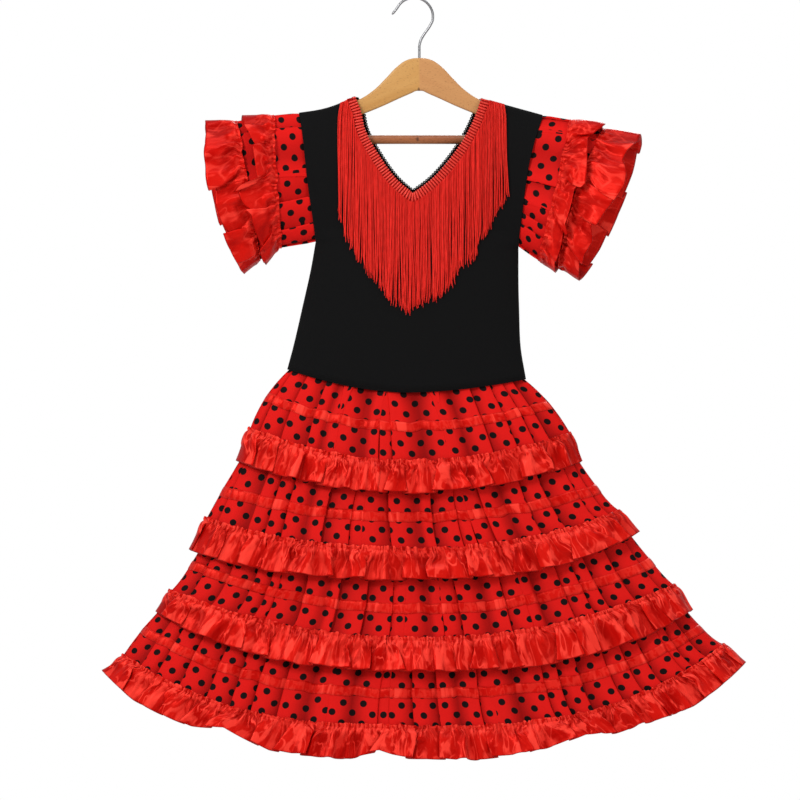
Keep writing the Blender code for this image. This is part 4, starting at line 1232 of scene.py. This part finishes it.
def make_sleeve(side, sleeve, front, back):
    rng = np.random.default_rng(70 if side == "left" else 71)
    start = armhole_loop(front, back)
    seams = {"upper": ring_loop(sleeve.upper_seam), "lower": ring_loop(sleeve.lower_seam)}
    hems = {"upper": ring_loop(sleeve.upper_hem), "lower": ring_loop(sleeve.lower_hem)}
    outwards = float(np.sign(sleeve.upper_seam.top_x))
    curves = [tucked(start, 4.0 * outwards)]
    curves += [mix_loops(start, seams["upper"], share) for share in np.linspace(0, 1, 9)]
    curves += [mix_loops(seams["upper"], seams["lower"], share) for share in np.linspace(0, 1, 9)[1:]]
    curves += [mix_loops(seams["lower"], hems["lower"], 0.08)]
    lifts = np.interp(np.arange(len(curves)), [0, 1, 3], [-1.3, -0.9, 0.0])
    cloth = pleated(
        curves, lifts, SLEEVE_TUBE_FULLNESS, SLEEVE_PLEATS, rng, closed=True, bend_scale=0.7, puff=0.5
    )
    grid, uv, deep = cloth.grid, cloth.uv, cloth.deep
    if side == "left":
        grid, uv, deep = grid[:, ::-1], uv[:, ::-1], deep[:, ::-1]
    tube = shell(f"sleeve_cloth_{side}", grid, uv, DOTTED, CLOTH, True, deep * 0.45)
    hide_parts(f"sleeve_{side}")
    tall = SLEEVE_DROPS[-1]
    before = {"upper": start, "lower": seams["upper"]}
    for part in ("upper", "lower"):
        seam, hem = seams[part], hems[part]
        gap = np.linalg.norm(seam[0][0] - before[part][0][0])
        loops = []
        for drop in SLEEVE_DROPS:
            if drop < 0:
                loops.append(mix_loops(seam, before[part], -drop / gap))
            else:
                loops.append(mix_loops(seam, hem, drop / tall))
        t = np.clip(SLEEVE_DROPS / tall, 0, 1)
        folds = SLEEVE_FOLDS[f"{side}_{part}"] + BEHIND_FOLDS
        width, cloth_at, along, out, tilt, lobe, deep = gather(
            loops, SLEEVE_DROPS, SLEEVE_FULLNESS, rng, fine=11.0, folds=folds, depth_limit=2.2 + 6.5 * t
        )
        pinch = 1 - 0.5 * np.exp(-((SLEEVE_DROPS / 1.3) ** 2))
        out = out * pinch[:, None]
        base = np.interp(SLEEVE_DROPS, [-3, -1, 0, 3, 8, 20, tall], [2.2, 1.8, 1.6, 2.7, 3.2, 3.4, 2.0])
        edges = FREE_EDGES[f"{side}_{part}"]
        table = np.array(edges, float)
        behind = np.array(FREE_EDGES_BEHIND.get(f"{side}_{part}", edges), float)
        stray = SEAM_WANDER * (wander(out.shape[1] - 1, 9, rng) - 1)
        rows = []
        for k, (points, normals) in enumerate(loops):
            share = along[k, :-1] / along[k, -1] * 2
            in_front = share <= 1
            share = np.where(in_front, share, 2 - share)
            # At the top and the bottom of the sleeve the strip turns, and lies flatter.
            calm = 1 - 0.7 * np.exp(-((np.minimum(share, 1 - share) / 0.05) ** 2))
            row = on_curve(points, normals, along[k, :-1], (base[k] + out[k, :-1]) * calm)
            reach_front = np.interp(share, table[:, 0], table[:, 1])
            reach = np.where(in_front, reach_front, np.interp(share, behind[:, 0], behind[:, 1]))
            rounded = SLEEVE_ROUND * (lobe - 0.6) * np.where(in_front, 1, 0.3)
            bulge = 0.4 * out[k, :-1] + tilt + rounded * calm
            row[:, 0] += outwards * (reach * t[k] ** 1.3 + bulge * t[k] ** 2 + stray * calm * (1 - t[k]) ** 2)
            rows.append(row)
        grid = np.array(rows)
        uv = np.stack(np.broadcast_arrays(cloth_at[None, :] * MM, hem_up(SLEEVE_DROPS)[:, None]), axis=-1)
        if side == "left":
            grid, uv, deep = grid[:, ::-1], uv[:, ::-1], deep[:, ::-1]
        name = f"sleeve_satin_{side}_{part}"
        piece = shell(name, grid, uv, SLEEVE_FINISH, SATIN, True, deep * 0.8)
        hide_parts(f"sleeve_{side}_{part}_ruffle")


make_sleeve("left", SLEEVES["left"], front_left, back_left)
make_sleeve("right", SLEEVES["right"], front_right, back_right)

# %% [markdown]
# What repeats is made with Geometry Nodes: the ribs of the braid, the strands of the
# fringe and the small loops of the elastic. A tree gets lines with their thickness as
# an attribute, and puts a tube round each.

# %% Helpers for Geometry Nodes


class Tree:
    """A node tree for a modifier, with named inputs and a material at its end."""

    def __init__(self, name, **inputs):
        self.tree = bpy.data.node_groups.new(name, "GeometryNodeTree")
        self.tree.is_modifier = True
        faces = self.tree.interface
        faces.new_socket(name="Geometry", in_out="OUTPUT", socket_type="NodeSocketGeometry")
        faces.new_socket(name="Geometry", in_out="INPUT", socket_type="NodeSocketGeometry")
        self.ids, self.values = {}, inputs
        for key, value in inputs.items():
            kind = "NodeSocketInt" if isinstance(value, int) else "NodeSocketFloat"
            socket = faces.new_socket(name=key.replace("_", " "), in_out="INPUT", socket_type=kind)
            socket.default_value = value
            self.ids[key] = socket.identifier
        self.inlet = self.tree.nodes.new("NodeGroupInput")
        self.outlet = self.tree.nodes.new("NodeGroupOutput")
        self.geometry = self.inlet.outputs[0]

    def input(self, key):
        return next(s for s in self.inlet.outputs if s.identifier == self.ids[key])

    def node(self, kind, settings=None, **sockets):
        made = self.tree.nodes.new(kind)
        for key, value in (settings or {}).items():
            setattr(made, key, value)
        for key, value in sockets.items():
            self.plug(value, made.inputs[key.replace("_", " ")])
        return made

    def plug(self, value, socket):
        if isinstance(value, bpy.types.NodeSocket):
            self.tree.links.new(value, socket)
        else:
            socket.default_value = value

    def attribute(self, name, kind="FLOAT_VECTOR"):
        made = self.node("GeometryNodeInputNamedAttribute", {"data_type": kind})
        made.inputs["Name"].default_value = name
        return made.outputs["Attribute"]

    def end(self, geometry, material):
        real = self.node("GeometryNodeRealizeInstances", Geometry=geometry)
        painted = self.node("GeometryNodeSetMaterial", Geometry=real.outputs[0])
        painted.inputs["Material"].default_value = material
        self.tree.links.new(painted.outputs[0], self.outlet.inputs[0])


def grown(name, points, edges, attributes, tree, material):
    """Runs a tree on a mesh of points and edges, and keeps the result as a plain mesh."""
    seed = bpy.data.meshes.new(name + "_points")
    seed.from_pydata(np.asarray(points).tolist(), edges, [])
    for key, values in attributes.items():
        values = np.asarray(values, np.float32)
        kind = "FLOAT_VECTOR" if values.ndim == 2 else "FLOAT"
        held = seed.attributes.new(key, kind, "POINT")
        held.data.foreach_set("vector" if values.ndim == 2 else "value", values.ravel())
    start = linked(name + "_points", seed)
    modifier = start.modifiers.new("tree", "NODES")
    modifier.node_group = tree.tree
    for key, value in tree.values.items():
        modifier[tree.ids[key]] = value
    bpy.context.view_layer.update()
    graph = bpy.context.evaluated_depsgraph_get()
    mesh = bpy.data.meshes.new_from_object(start.evaluated_get(graph))
    start.modifiers.clear()
    bpy.data.objects.remove(start)
    mesh.name = name
    mesh.materials.clear()
    mesh.materials.append(material)
    mesh.shade_smooth()
    made = linked(name, mesh)
    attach(made, "root")
    print(name, "faces:", len(mesh.polygons))
    return made


# %% [markdown]
# The braid runs along the front neckline. Its ribs are short thick cords laid side by
# side across it, and at the point of the V they fan round the corner.

# %% Braid along the neckline
BRAID_WIDTH = 13.0
RIB_PITCH = 3.8
RIB_RADIUS = 1.32
Swell = namedtuple("Swell", "share size")  # how thick a rib is at a share of the braid's width
RIB_SHAPE = (
    Swell(0.0, 0.35), Swell(0.05, 0.8), Swell(0.25, 1.0), Swell(0.5, 1.0),
    Swell(0.75, 1.0), Swell(0.95, 0.8), Swell(1.0, 0.35),
)


def panel_finder(panel):
    """Returns a function: y in mm of a panel's front at x and z in mm."""
    bpy.context.view_layer.update()
    tree = BVHTree.FromObject(panel, bpy.context.evaluated_depsgraph_get())

    def front_y(x, z):
        start = Vector((x * MM, -0.3, z * MM))
        hit = tree.ray_cast(start, Vector((0, 1, 0)))[0]
        if hit is None:
            hit = tree.find_nearest(start + Vector((0, 0.28, 0)))[0]
        return hit.y / MM

    return front_y


front_y = panel_finder(bodice_front)
neck_row = NECK_POINT * ROWS_A_GAP
neck_edge = np.concatenate([front_left[neck_row:, -1][::-1], front_right[neck_row + 1:, -1]])[:, [0, 2]]
neck_length = length_along(neck_edge)
neck_spots = np.arange(0.0, neck_length[-1], 1.0)
neck = np.stack([np.interp(neck_spots, neck_length, neck_edge[:, k]) for k in range(2)], axis=1)
run = np.gradient(neck, axis=0)
run /= np.linalg.norm(run, axis=1)[:, None]
blur = np.exp(-(np.arange(-24, 25) / 9.0) ** 2)
blur /= blur.sum()
padded_run = np.concatenate([np.repeat(run[:1], 24, 0), run, np.repeat(run[-1:], 24, 0)])
turned_run = np.stack([np.convolve(padded_run[:, k], blur, "valid") for k in range(2)], axis=1)
turned_run /= np.linalg.norm(turned_run, axis=1)[:, None]
across = np.stack([turned_run[:, 1], -turned_run[:, 0]], axis=1)


def cord_material(name, colour, pitch, depth=0.7, gloss=0.45, shine=0.6, tint=(1.0, 0.35, 0.28)):
    """A shiny cord of two plies, with painted shade in the grooves between them. u runs
    round the cord and v along it, in metres. depth is the share of its colour left in that shade.
    """
    made, nodes, links = node_material(name)
    shader = nodes["Principled BSDF"]
    where = flat_cloth(nodes)
    split = parts_of(nodes, links, where)
    turn = maths(nodes, links, "MULTIPLY", split[0], 2 * math.pi * 2)
    run_on = maths(nodes, links, "MULTIPLY", split[1], 2 * math.pi / pitch)
    ply = maths(nodes, links, "SINE", maths(nodes, links, "ADD", turn, run_on))
    place = nodes.new("ShaderNodeTexCoord").outputs["Object"]
    cloudy = noise(nodes, links, mapped(nodes, links, place, (1, 1, 0.22)), 520, 2)
    dark, light = tuple(c * 0.64 for c in colour), tuple(min(1.0, c * 1.3 + 0.010) for c in colour)
    tone = mixed(nodes, links, ranged(nodes, links, cloudy, 0.36, 0.64), dark, light)
    # Painted shade in the grooves between the plies.
    deep = maths(nodes, links, "MULTIPLY_ADD", ply, 0.5, 0.5)
    shaded = mixed(nodes, links, deep, tuple(c * depth for c in colour), tone)
    links.new(shaded, shader.inputs["Base Color"])
    links.new(bump(nodes, links, ply, 0.00012, 0.7), shader.inputs["Normal"])
    socket_values(shader, Roughness=gloss, Specular_IOR_Level=shine, Specular_Tint=(*tint, 1))
    return made


CORD_FINISH = cord_material("red_cord", (0.98, 0.019, 0.013), 0.0022, 0.68, 0.42, 0.6, (1.0, 0.28, 0.2))
RIB_FINISH = cord_material("braid_cord", (0.92, 0.040, 0.026), 0.0030, 0.72, 0.36, 0.9, (1.0, 0.42, 0.34))
# The core's dark red is painted shade, for the gaps between the braid's ribs.
CORE_SHADE_FINISH = cord_material("braid_core_painted_shade", (0.42, 0.004, 0.003), 0.0030, 0.7, 0.6, 0.2)


def cord_tree(name, sides):
    """Turns lines into cords, with their own thickness and a map for the twist."""
    tree = Tree(name, Sides=sides)
    line = tree.node("GeometryNodeMeshToCurve", Mesh=tree.geometry)
    thick = tree.attribute("thick", "FLOAT")
    sized = tree.node("GeometryNodeSetCurveRadius", Curve=line.outputs[0], Radius=thick)
    lengths = tree.node("GeometryNodeSplineParameter")
    held = tree.node("GeometryNodeCaptureAttribute", {"domain": "POINT"}, Geometry=sized.outputs[0])
    held.capture_items.new("FLOAT", "run")
    tree.plug(lengths.outputs["Length"], held.inputs["run"])
    circle = tree.node("GeometryNodeCurvePrimitiveCircle", Radius=1.0)
    tree.plug(tree.input("Sides"), circle.inputs["Resolution"])
    around = tree.node("GeometryNodeCaptureAttribute", {"domain": "POINT"}, Geometry=circle.outputs[0])
    around.capture_items.new("FLOAT", "around")
    tree.plug(lengths.outputs["Factor"], around.inputs["around"])
    tube = tree.node(
        "GeometryNodeCurveToMesh", Curve=held.outputs[0], Profile_Curve=around.outputs[0], Fill_Caps=True
    )
    if "Scale" in tube.inputs:
        radius = tree.node("GeometryNodeInputRadius")
        tree.plug(radius.outputs[0], tube.inputs["Scale"])
    both = tree.node("ShaderNodeCombineXYZ")
    tree.plug(around.outputs["around"], both.inputs[0])
    tree.plug(held.outputs["run"], both.inputs[1])
    corners = {"data_type": "FLOAT2", "domain": "CORNER"}
    mapped_uv = tree.node("GeometryNodeStoreNamedAttribute", corners, Geometry=tube.outputs[0])
    mapped_uv.inputs["Name"].default_value = "UVMap"
    tree.plug(both.outputs[0], mapped_uv.inputs["Value"])
    return tree, mapped_uv.outputs[0]


def grown_cords(name, lines, thicks, sides, material):
    """Every line is (points, 3) in mm, with its own thickness at each point."""
    tree, tubes = cord_tree(name + "_tree", sides)
    tree.end(tubes, material)
    edges, start = [], 0
    for line in lines:
        edges += [(start + k, start + k + 1) for k in range(len(line) - 1)]
        start += len(line)
    points, thick = np.concatenate(lines) * MM, np.concatenate(thicks) * MM
    return grown(name, points, edges, {"thick": thick}, tree, material)


def braid_ribs():
    middle = neck + across * BRAID_WIDTH / 2
    along_middle = length_along(middle)
    count = int(along_middle[-1] / RIB_PITCH)
    lines, thicks = [], []
    for place in np.linspace(RIB_RADIUS, along_middle[-1] - RIB_RADIUS, count):
        inner = np.array([np.interp(place, along_middle, neck[:, k]) for k in range(2)])
        way = np.array([np.interp(place, along_middle, across[:, k]) for k in range(2)])
        line, thick = [], []
        for share, size in RIB_SHAPE:
            x, z = inner + way * (BRAID_WIDTH * share - 0.6)
            inside_x, inside_z = inner + way * max(1.5, BRAID_WIDTH * share)
            line.append((x, front_y(inside_x, inside_z) - 1.6, z))
            thick.append(RIB_RADIUS * size)
        lines.append(np.array(line))
        thicks.append(np.array(thick))
    return lines, thicks


def braid_core():
    """Cords that run along the braid and hold its ribs. Their dark red, seen between the ribs, is painted
    shade.
    """
    lines = []
    for share in (0.13, 0.30, 0.47, 0.64, 0.81):
        core = neck[::3] + across[::3] * BRAID_WIDTH * share
        lines.append(np.array([(x, front_y(x, z) - 0.35, z) for x, z in core]))
    return lines, [np.full(len(line), 1.25) for line in lines]


rib_lines, rib_thicks = braid_ribs()
braid = grown_cords("neck_braid", rib_lines, rib_thicks, 8, RIB_FINISH)
core = grown_cords("neck_braid_core", *braid_core(), 6, CORE_SHADE_FINISH)

# %% [markdown]
# The fringe is a row of soft twisted cords that hang straight down from the braid, in
# two layers. Each keeps its length, lies on the knit under it, and swings a little, so
# that the cords bunch here and part there.

# %% Fringe
STRANDS = 250
STRAND_RADIUS = 0.70
STRAND_STEPS = 15
SHOULDER_ROOTS = (-96.5, 118.5)  # x where the fringe ends on the two shoulders
Tip = namedtuple("Tip", "x z")
FRINGE_TIPS = (
    Tip(-103, -266), Tip(-97, -288), Tip(-91, -309), Tip(-71, -347), Tip(-41, -389), Tip(-20, -407),
    Tip(-6.6, -415), Tip(15.8, -400), Tip(39.6, -391), Tip(62, -356), Tip(78, -343), Tip(86, -326),
    Tip(99, -306), Tip(108, -284), Tip(116, -273), Tip(124, -254),
)


def fringe_strands():
    """The outermost strands start on the shoulder itself, past the end of the braid."""
    rng = np.random.default_rng(7)
    rooted = neck + across * (BRAID_WIDTH - 1.5)
    order = np.argsort(rooted[:, 0])
    xs, zs = rooted[order, 0], rooted[order, 1]
    shoulder = np.concatenate([front_left[-1], front_right[-1][::-1]])
    roots = np.linspace(*SHOULDER_ROOTS, STRANDS) + rng.uniform(-0.4, 0.4, STRANDS)
    drift = 3.4 * wander(STRANDS, 9, rng) + 2.2 * wander(STRANDS, 3, rng)
    ends = [SHOULDER_ROOTS[0], xs[0] + 12, xs[-1] - 16, SHOULDER_ROOTS[1]]
    swell = np.interp(roots, ends, [-3.2, 0, 0, 2.6])
    lines, thicks = [], []
    for k, x in enumerate(roots):
        z = float(np.interp(x, xs, zs))
        if not xs[0] < x < xs[-1]:
            z = float(np.interp(x, shoulder[:, 0], shoulder[:, 2])) + 0.4
        tip = float(np.interp(x + swell[k], [t.x for t in FRINGE_TIPS], [t.z for t in FRINGE_TIPS]))
        length = z - tip + rng.uniform(-4.5, 4.5)
        layer = k % 2
        curl = rng.uniform(-1, 1)
        down = np.linspace(0, 1, STRAND_STEPS + 1)
        out = swell[k] * np.minimum(down / 0.15, 1) ** 0.7
        side = x + out + drift[k] * down**1.3 + 1.1 * np.sin(5 * down + 6 * curl) * down**0.7
        side = side + 2.4 * curl * np.clip((down - 0.93) / 0.07, 0, 1)
        height = z - length * down
        line = []
        for a, b, t in zip(side, height, down):
            on_knit = front_y(a, min(b, z - 1.5))
            line.append((a, on_knit - 1.3 - 1.25 * layer * min(1, t * 12) - 0.4 * (t < 0.05), b))
        line = np.array(line)
        line[:, 1] = np.minimum(line[:, 1], np.linspace(line[1, 1], line[-1, 1], len(line)) - 0.2)
        lines.append(line)
        thick = np.full(len(line), STRAND_RADIUS * rng.uniform(0.80, 1.20))
        thick[-1] *= 0.55
        thicks.append(thick)
    return lines, thicks


strand_lines, strand_thicks = fringe_strands()
fringe = grown_cords("fringe_cords", strand_lines, strand_thicks, 6, CORD_FINISH)
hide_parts("fringe_trim")

# %% [markdown]
# A black elastic with tiny picot loops finishes the back neckline. Seen from the front
# it shows behind the braid as a dark toothed edge.

# %% Back neckline
EDGING_WIDTH = 2.5
PICOT_PITCH = 4.0


def make_edging():
    edge = np.concatenate([back_left[neck_row:-2, -1][::-1], back_right[neck_row + 1:-2, -1]])
    along = length_along(edge)
    spots = np.arange(0, along[-1], 1.5)
    line = np.stack([np.interp(spots, along, edge[:, k]) for k in range(3)], axis=1)
    run_on = np.gradient(line, axis=0)
    run_on /= np.linalg.norm(run_on, axis=1)[:, None]
    inwards = np.stack([-run_on[:, 2], 0 * spots, run_on[:, 0]], axis=1)
    strip = line + inwards * (EDGING_WIDTH / 2 + 0.2)
    wave = 0.25 * np.sin(spots * 2 * math.pi / PICOT_PITCH)
    lines = [strip, line + inwards * 0.2, line + inwards * (EDGING_WIDTH + 0.2)]
    thicks = [np.full(len(spots), 1.15), np.full(len(spots), 1.0), 0.85 + wave]
    for place in np.arange(PICOT_PITCH, along[-1] - PICOT_PITCH, PICOT_PITCH):
        centre = np.array([np.interp(place, spots, line[:, k]) for k in range(3)])
        ahead = np.array([np.interp(place, spots, run_on[:, k]) for k in range(3)])
        inward = np.array([-ahead[2], 0, ahead[0]])
        turn = np.linspace(-0.2, math.pi + 0.2, 7)[:, None]
        root = centre + inward * (EDGING_WIDTH + 0.3)
        lines.append(root + ahead * 1.4 * np.cos(turn) + inward * 2.2 * np.sin(turn))
        thicks.append(np.full(7, 0.85))
    made = grown_cords("neck_elastic", lines, thicks, 6, KNIT_FINISH)
    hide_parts("neck_edging_back")


make_edging()

# %% [markdown]
# The hanger is pale wood, in one flat piece with rounded edges. The grain follows each
# of its two arms, and the halves differ a little in colour.
# The bar is a darker dowel, and the hook is bright bent wire.

# %% Hanger
HANGER_X = 7.0
HANGER_THICK = 12.0
HANGER_EDGE = 2.6
Knot = namedtuple("Knot", "x z")
HANGER_OUTLINE = tuple(Knot(*pair) for pair in (
    (0, -78), (16, -80.5), (30, -90), (43, -103.5), (61, -121), (82, -134),
    (104, -141.5), (128, -150), (144, -157), (151, -166), (151, -184), (143, -194),
    (133, -190), (125, -175), (102, -162), (76, -152.5), (50, -142), (26, -131),
    (9, -123.5), (5, -121.5), (0, -121.2),
))
BAR_Z, BAR_RADIUS, BAR_HALF = -185.6, 5.8, 140.0
WIRE = 1.7
STEM_Z = -91.0
HOOK_RADIUS = 25.0
HOOK_BEND = (Knot(7, -70), Knot(7, -64), Knot(7.6, -59), Knot(9.6, -53), Knot(14.5, -45), Knot(21, -35.5))
HOOK_TIP = Knot(-29, -20.5)


Grain = namedtuple("Grain", "pale deep")
Mark = namedtuple("Mark", "x z radius")  # a dark spot in the wood
GOLDEN = Grain((0.605, 0.325, 0.100), (0.520, 0.252, 0.066))
ROSY = Grain((0.600, 0.300, 0.112), (0.505, 0.228, 0.080))
DARK = Grain((0.42, 0.150, 0.052), (0.235, 0.062, 0.019))


def wood(name, left, right, slope, fleck, mark):
    """Planed wood, with the grain of its left and right half along the arm on that side."""
    made, nodes, links = node_material(name)
    shader = nodes["Principled BSDF"]
    place = nodes.new("ShaderNodeTexCoord").outputs["Object"]
    split = parts_of(nodes, links, place)
    on_right = ranged(nodes, links, split[0], (HANGER_X - 1.5) * MM, (HANGER_X + 1.5) * MM)
    tones = []
    for colours, turn in ((left, slope), (right, -slope)):
        turned = mapped(nodes, links, place, (1, 1, 1), (0, turn, 0))
        grain = noise(nodes, links, mapped(nodes, links, turned, (7, 90, 130)), 1.0, 4, 0.6)
        bands = noise(nodes, links, mapped(nodes, links, turned, (2.2, 14, 22)), 1.0, 2, 0.5)
        broad = maths(nodes, links, "MULTIPLY", bands, 0.55)
        both = maths(nodes, links, "ADD", broad, maths(nodes, links, "MULTIPLY", grain, 0.45))
        tones.append(mixed(nodes, links, ranged(nodes, links, both, 0.36, 0.66), colours.deep, colours.pale))
    tone = mixed(nodes, links, on_right, *tones)
    flecks = noise(nodes, links, mapped(nodes, links, place, (300, 300, 1100)), 1.0, 1)
    flecked = ranged(nodes, links, flecks, 0.62, 0.72, 0.0, fleck)
    shade = tuple(c * 0.5 for c in right.deep)
    tone = mixed(nodes, links, flecked, tone, shade)
    aside = vector_maths(nodes, links, "SUBTRACT", place, (mark.x * MM, 0, mark.z * MM))
    in_plane = vector_maths(nodes, links, "MULTIPLY", aside, (1, 0, 0.6))
    away = vector_maths(nodes, links, "LENGTH", in_plane)
    marked = ranged(nodes, links, away, mark.radius * MM, mark.radius * 0.4 * MM, 0.0, 0.8)
    spot = tuple(c * 0.25 for c in right.deep)
    links.new(mixed(nodes, links, marked, tone, spot), shader.inputs["Base Color"])
    links.new(bump(nodes, links, flecks, 0.00008, 0.4), shader.inputs["Normal"])
    socket_values(shader, Roughness=0.42, Specular_IOR_Level=0.3, Coat_Weight=0.15, Coat_Roughness=0.3)
    return made


def kept_mesh(start, name, material, node):
    """Keeps a curve object's shape as a plain mesh that stands for a node."""
    bpy.context.view_layer.update()
    mesh = bpy.data.meshes.new_from_object(start.evaluated_get(bpy.context.evaluated_depsgraph_get()))
    mesh.transform(start.matrix_world)
    bpy.data.objects.remove(start)
    mesh.name = name
    mesh.materials.clear()
    mesh.materials.append(material)
    made = linked(name, mesh)
    weld(made)
    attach(made, "root")
    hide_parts(node)
    print(name, "faces:", len(mesh.polygons))
    return made


def make_hanger_body():
    outline = list(HANGER_OUTLINE) + [Knot(-k.x, k.z) for k in reversed(HANGER_OUTLINE) if k.x > 0]
    curve = bpy.data.curves.new("hanger_outline", "CURVE")
    curve.dimensions = "2D"
    curve.fill_mode = "BOTH"
    curve.resolution_u = 8
    curve.extrude = (HANGER_THICK / 2 - HANGER_EDGE) * MM
    curve.bevel_depth = HANGER_EDGE * MM
    curve.bevel_resolution = 3
    curve.offset = -HANGER_EDGE * MM
    spline = curve.splines.new("BEZIER")
    spline.use_cyclic_u = True
    spline.bezier_points.add(len(outline) - 1)
    for knot, spot in zip(spline.bezier_points, outline):
        knot.co = Vector((spot.x, spot.z, 0)) * MM
        knot.handle_left_type = knot.handle_right_type = "AUTO"
    start = linked("hanger_outline", curve)
    start.matrix_world = Matrix.Translation((HANGER_X * MM, 0, 0)) @ Matrix.Rotation(math.pi / 2, 4, "X")
    pale_wood = wood("light_wood", GOLDEN, ROSY, 0.42, 0.6, Mark(6.2, -119.6, 2.0))
    body = kept_mesh(start, "hanger_body", pale_wood, "hanger_wood")
    body.data.shade_smooth()
    body.data.set_sharp_from_angle(angle=0.7)


def make_bar():
    """The dowel runs straight from one arm of the hanger to the other."""
    line = np.array([(HANGER_X + BAR_HALF * share, 0, BAR_Z) for share in np.linspace(-1, 1, 41)])
    dark = wood("dark_wood", DARK, DARK, 0.06, 0.8, Mark(4.6, -185.2, 2.4))
    bar = grown_cords("trouser_bar", [line], [np.full(len(line), BAR_RADIUS)], 24, dark)
    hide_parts("hanger_bar")


def make_wire_hook():
    centre = np.array([0, WIRE - HOOK_RADIUS])
    path = [Knot(HANGER_X, STEM_Z), *HOOK_BEND]
    for turn in np.radians(np.linspace(-6, 152, 13)):
        path.append(Knot(*(centre + HOOK_RADIUS * np.array([math.cos(turn), math.sin(turn)]))))
    path.append(HOOK_TIP)
    coarse = np.array(path)
    table = length_along(coarse)
    places = np.linspace(0, table[-1], 110)
    smooth = np.stack([eased(table, coarse[:, k], places) for k in range(2)], axis=1)
    line = np.stack([smooth[:, 0], 0 * places, smooth[:, 1]], axis=1)
    thick = np.full(len(line), WIRE)
    thick[-3:] = WIRE * np.array([0.98, 0.8, 0.35])
    made, nodes, links = node_material("steel_wire")
    shader = nodes["Principled BSDF"]
    place = nodes.new("ShaderNodeTexCoord").outputs["Object"]
    drawn = noise(nodes, links, mapped(nodes, links, place, (1, 1, 0.2)), 900, 2)
    links.new(mixed(nodes, links, drawn, (0.26, 0.26, 0.27), (0.38, 0.38, 0.39)), shader.inputs["Base Color"])
    socket_values(shader, Metallic=1.0, Roughness=0.38)
    hook = grown_cords("wire_hook", [line], [thick], 16, made)
    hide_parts("hanger_hook")


make_hanger_body()
make_bar()
make_wire_hook()
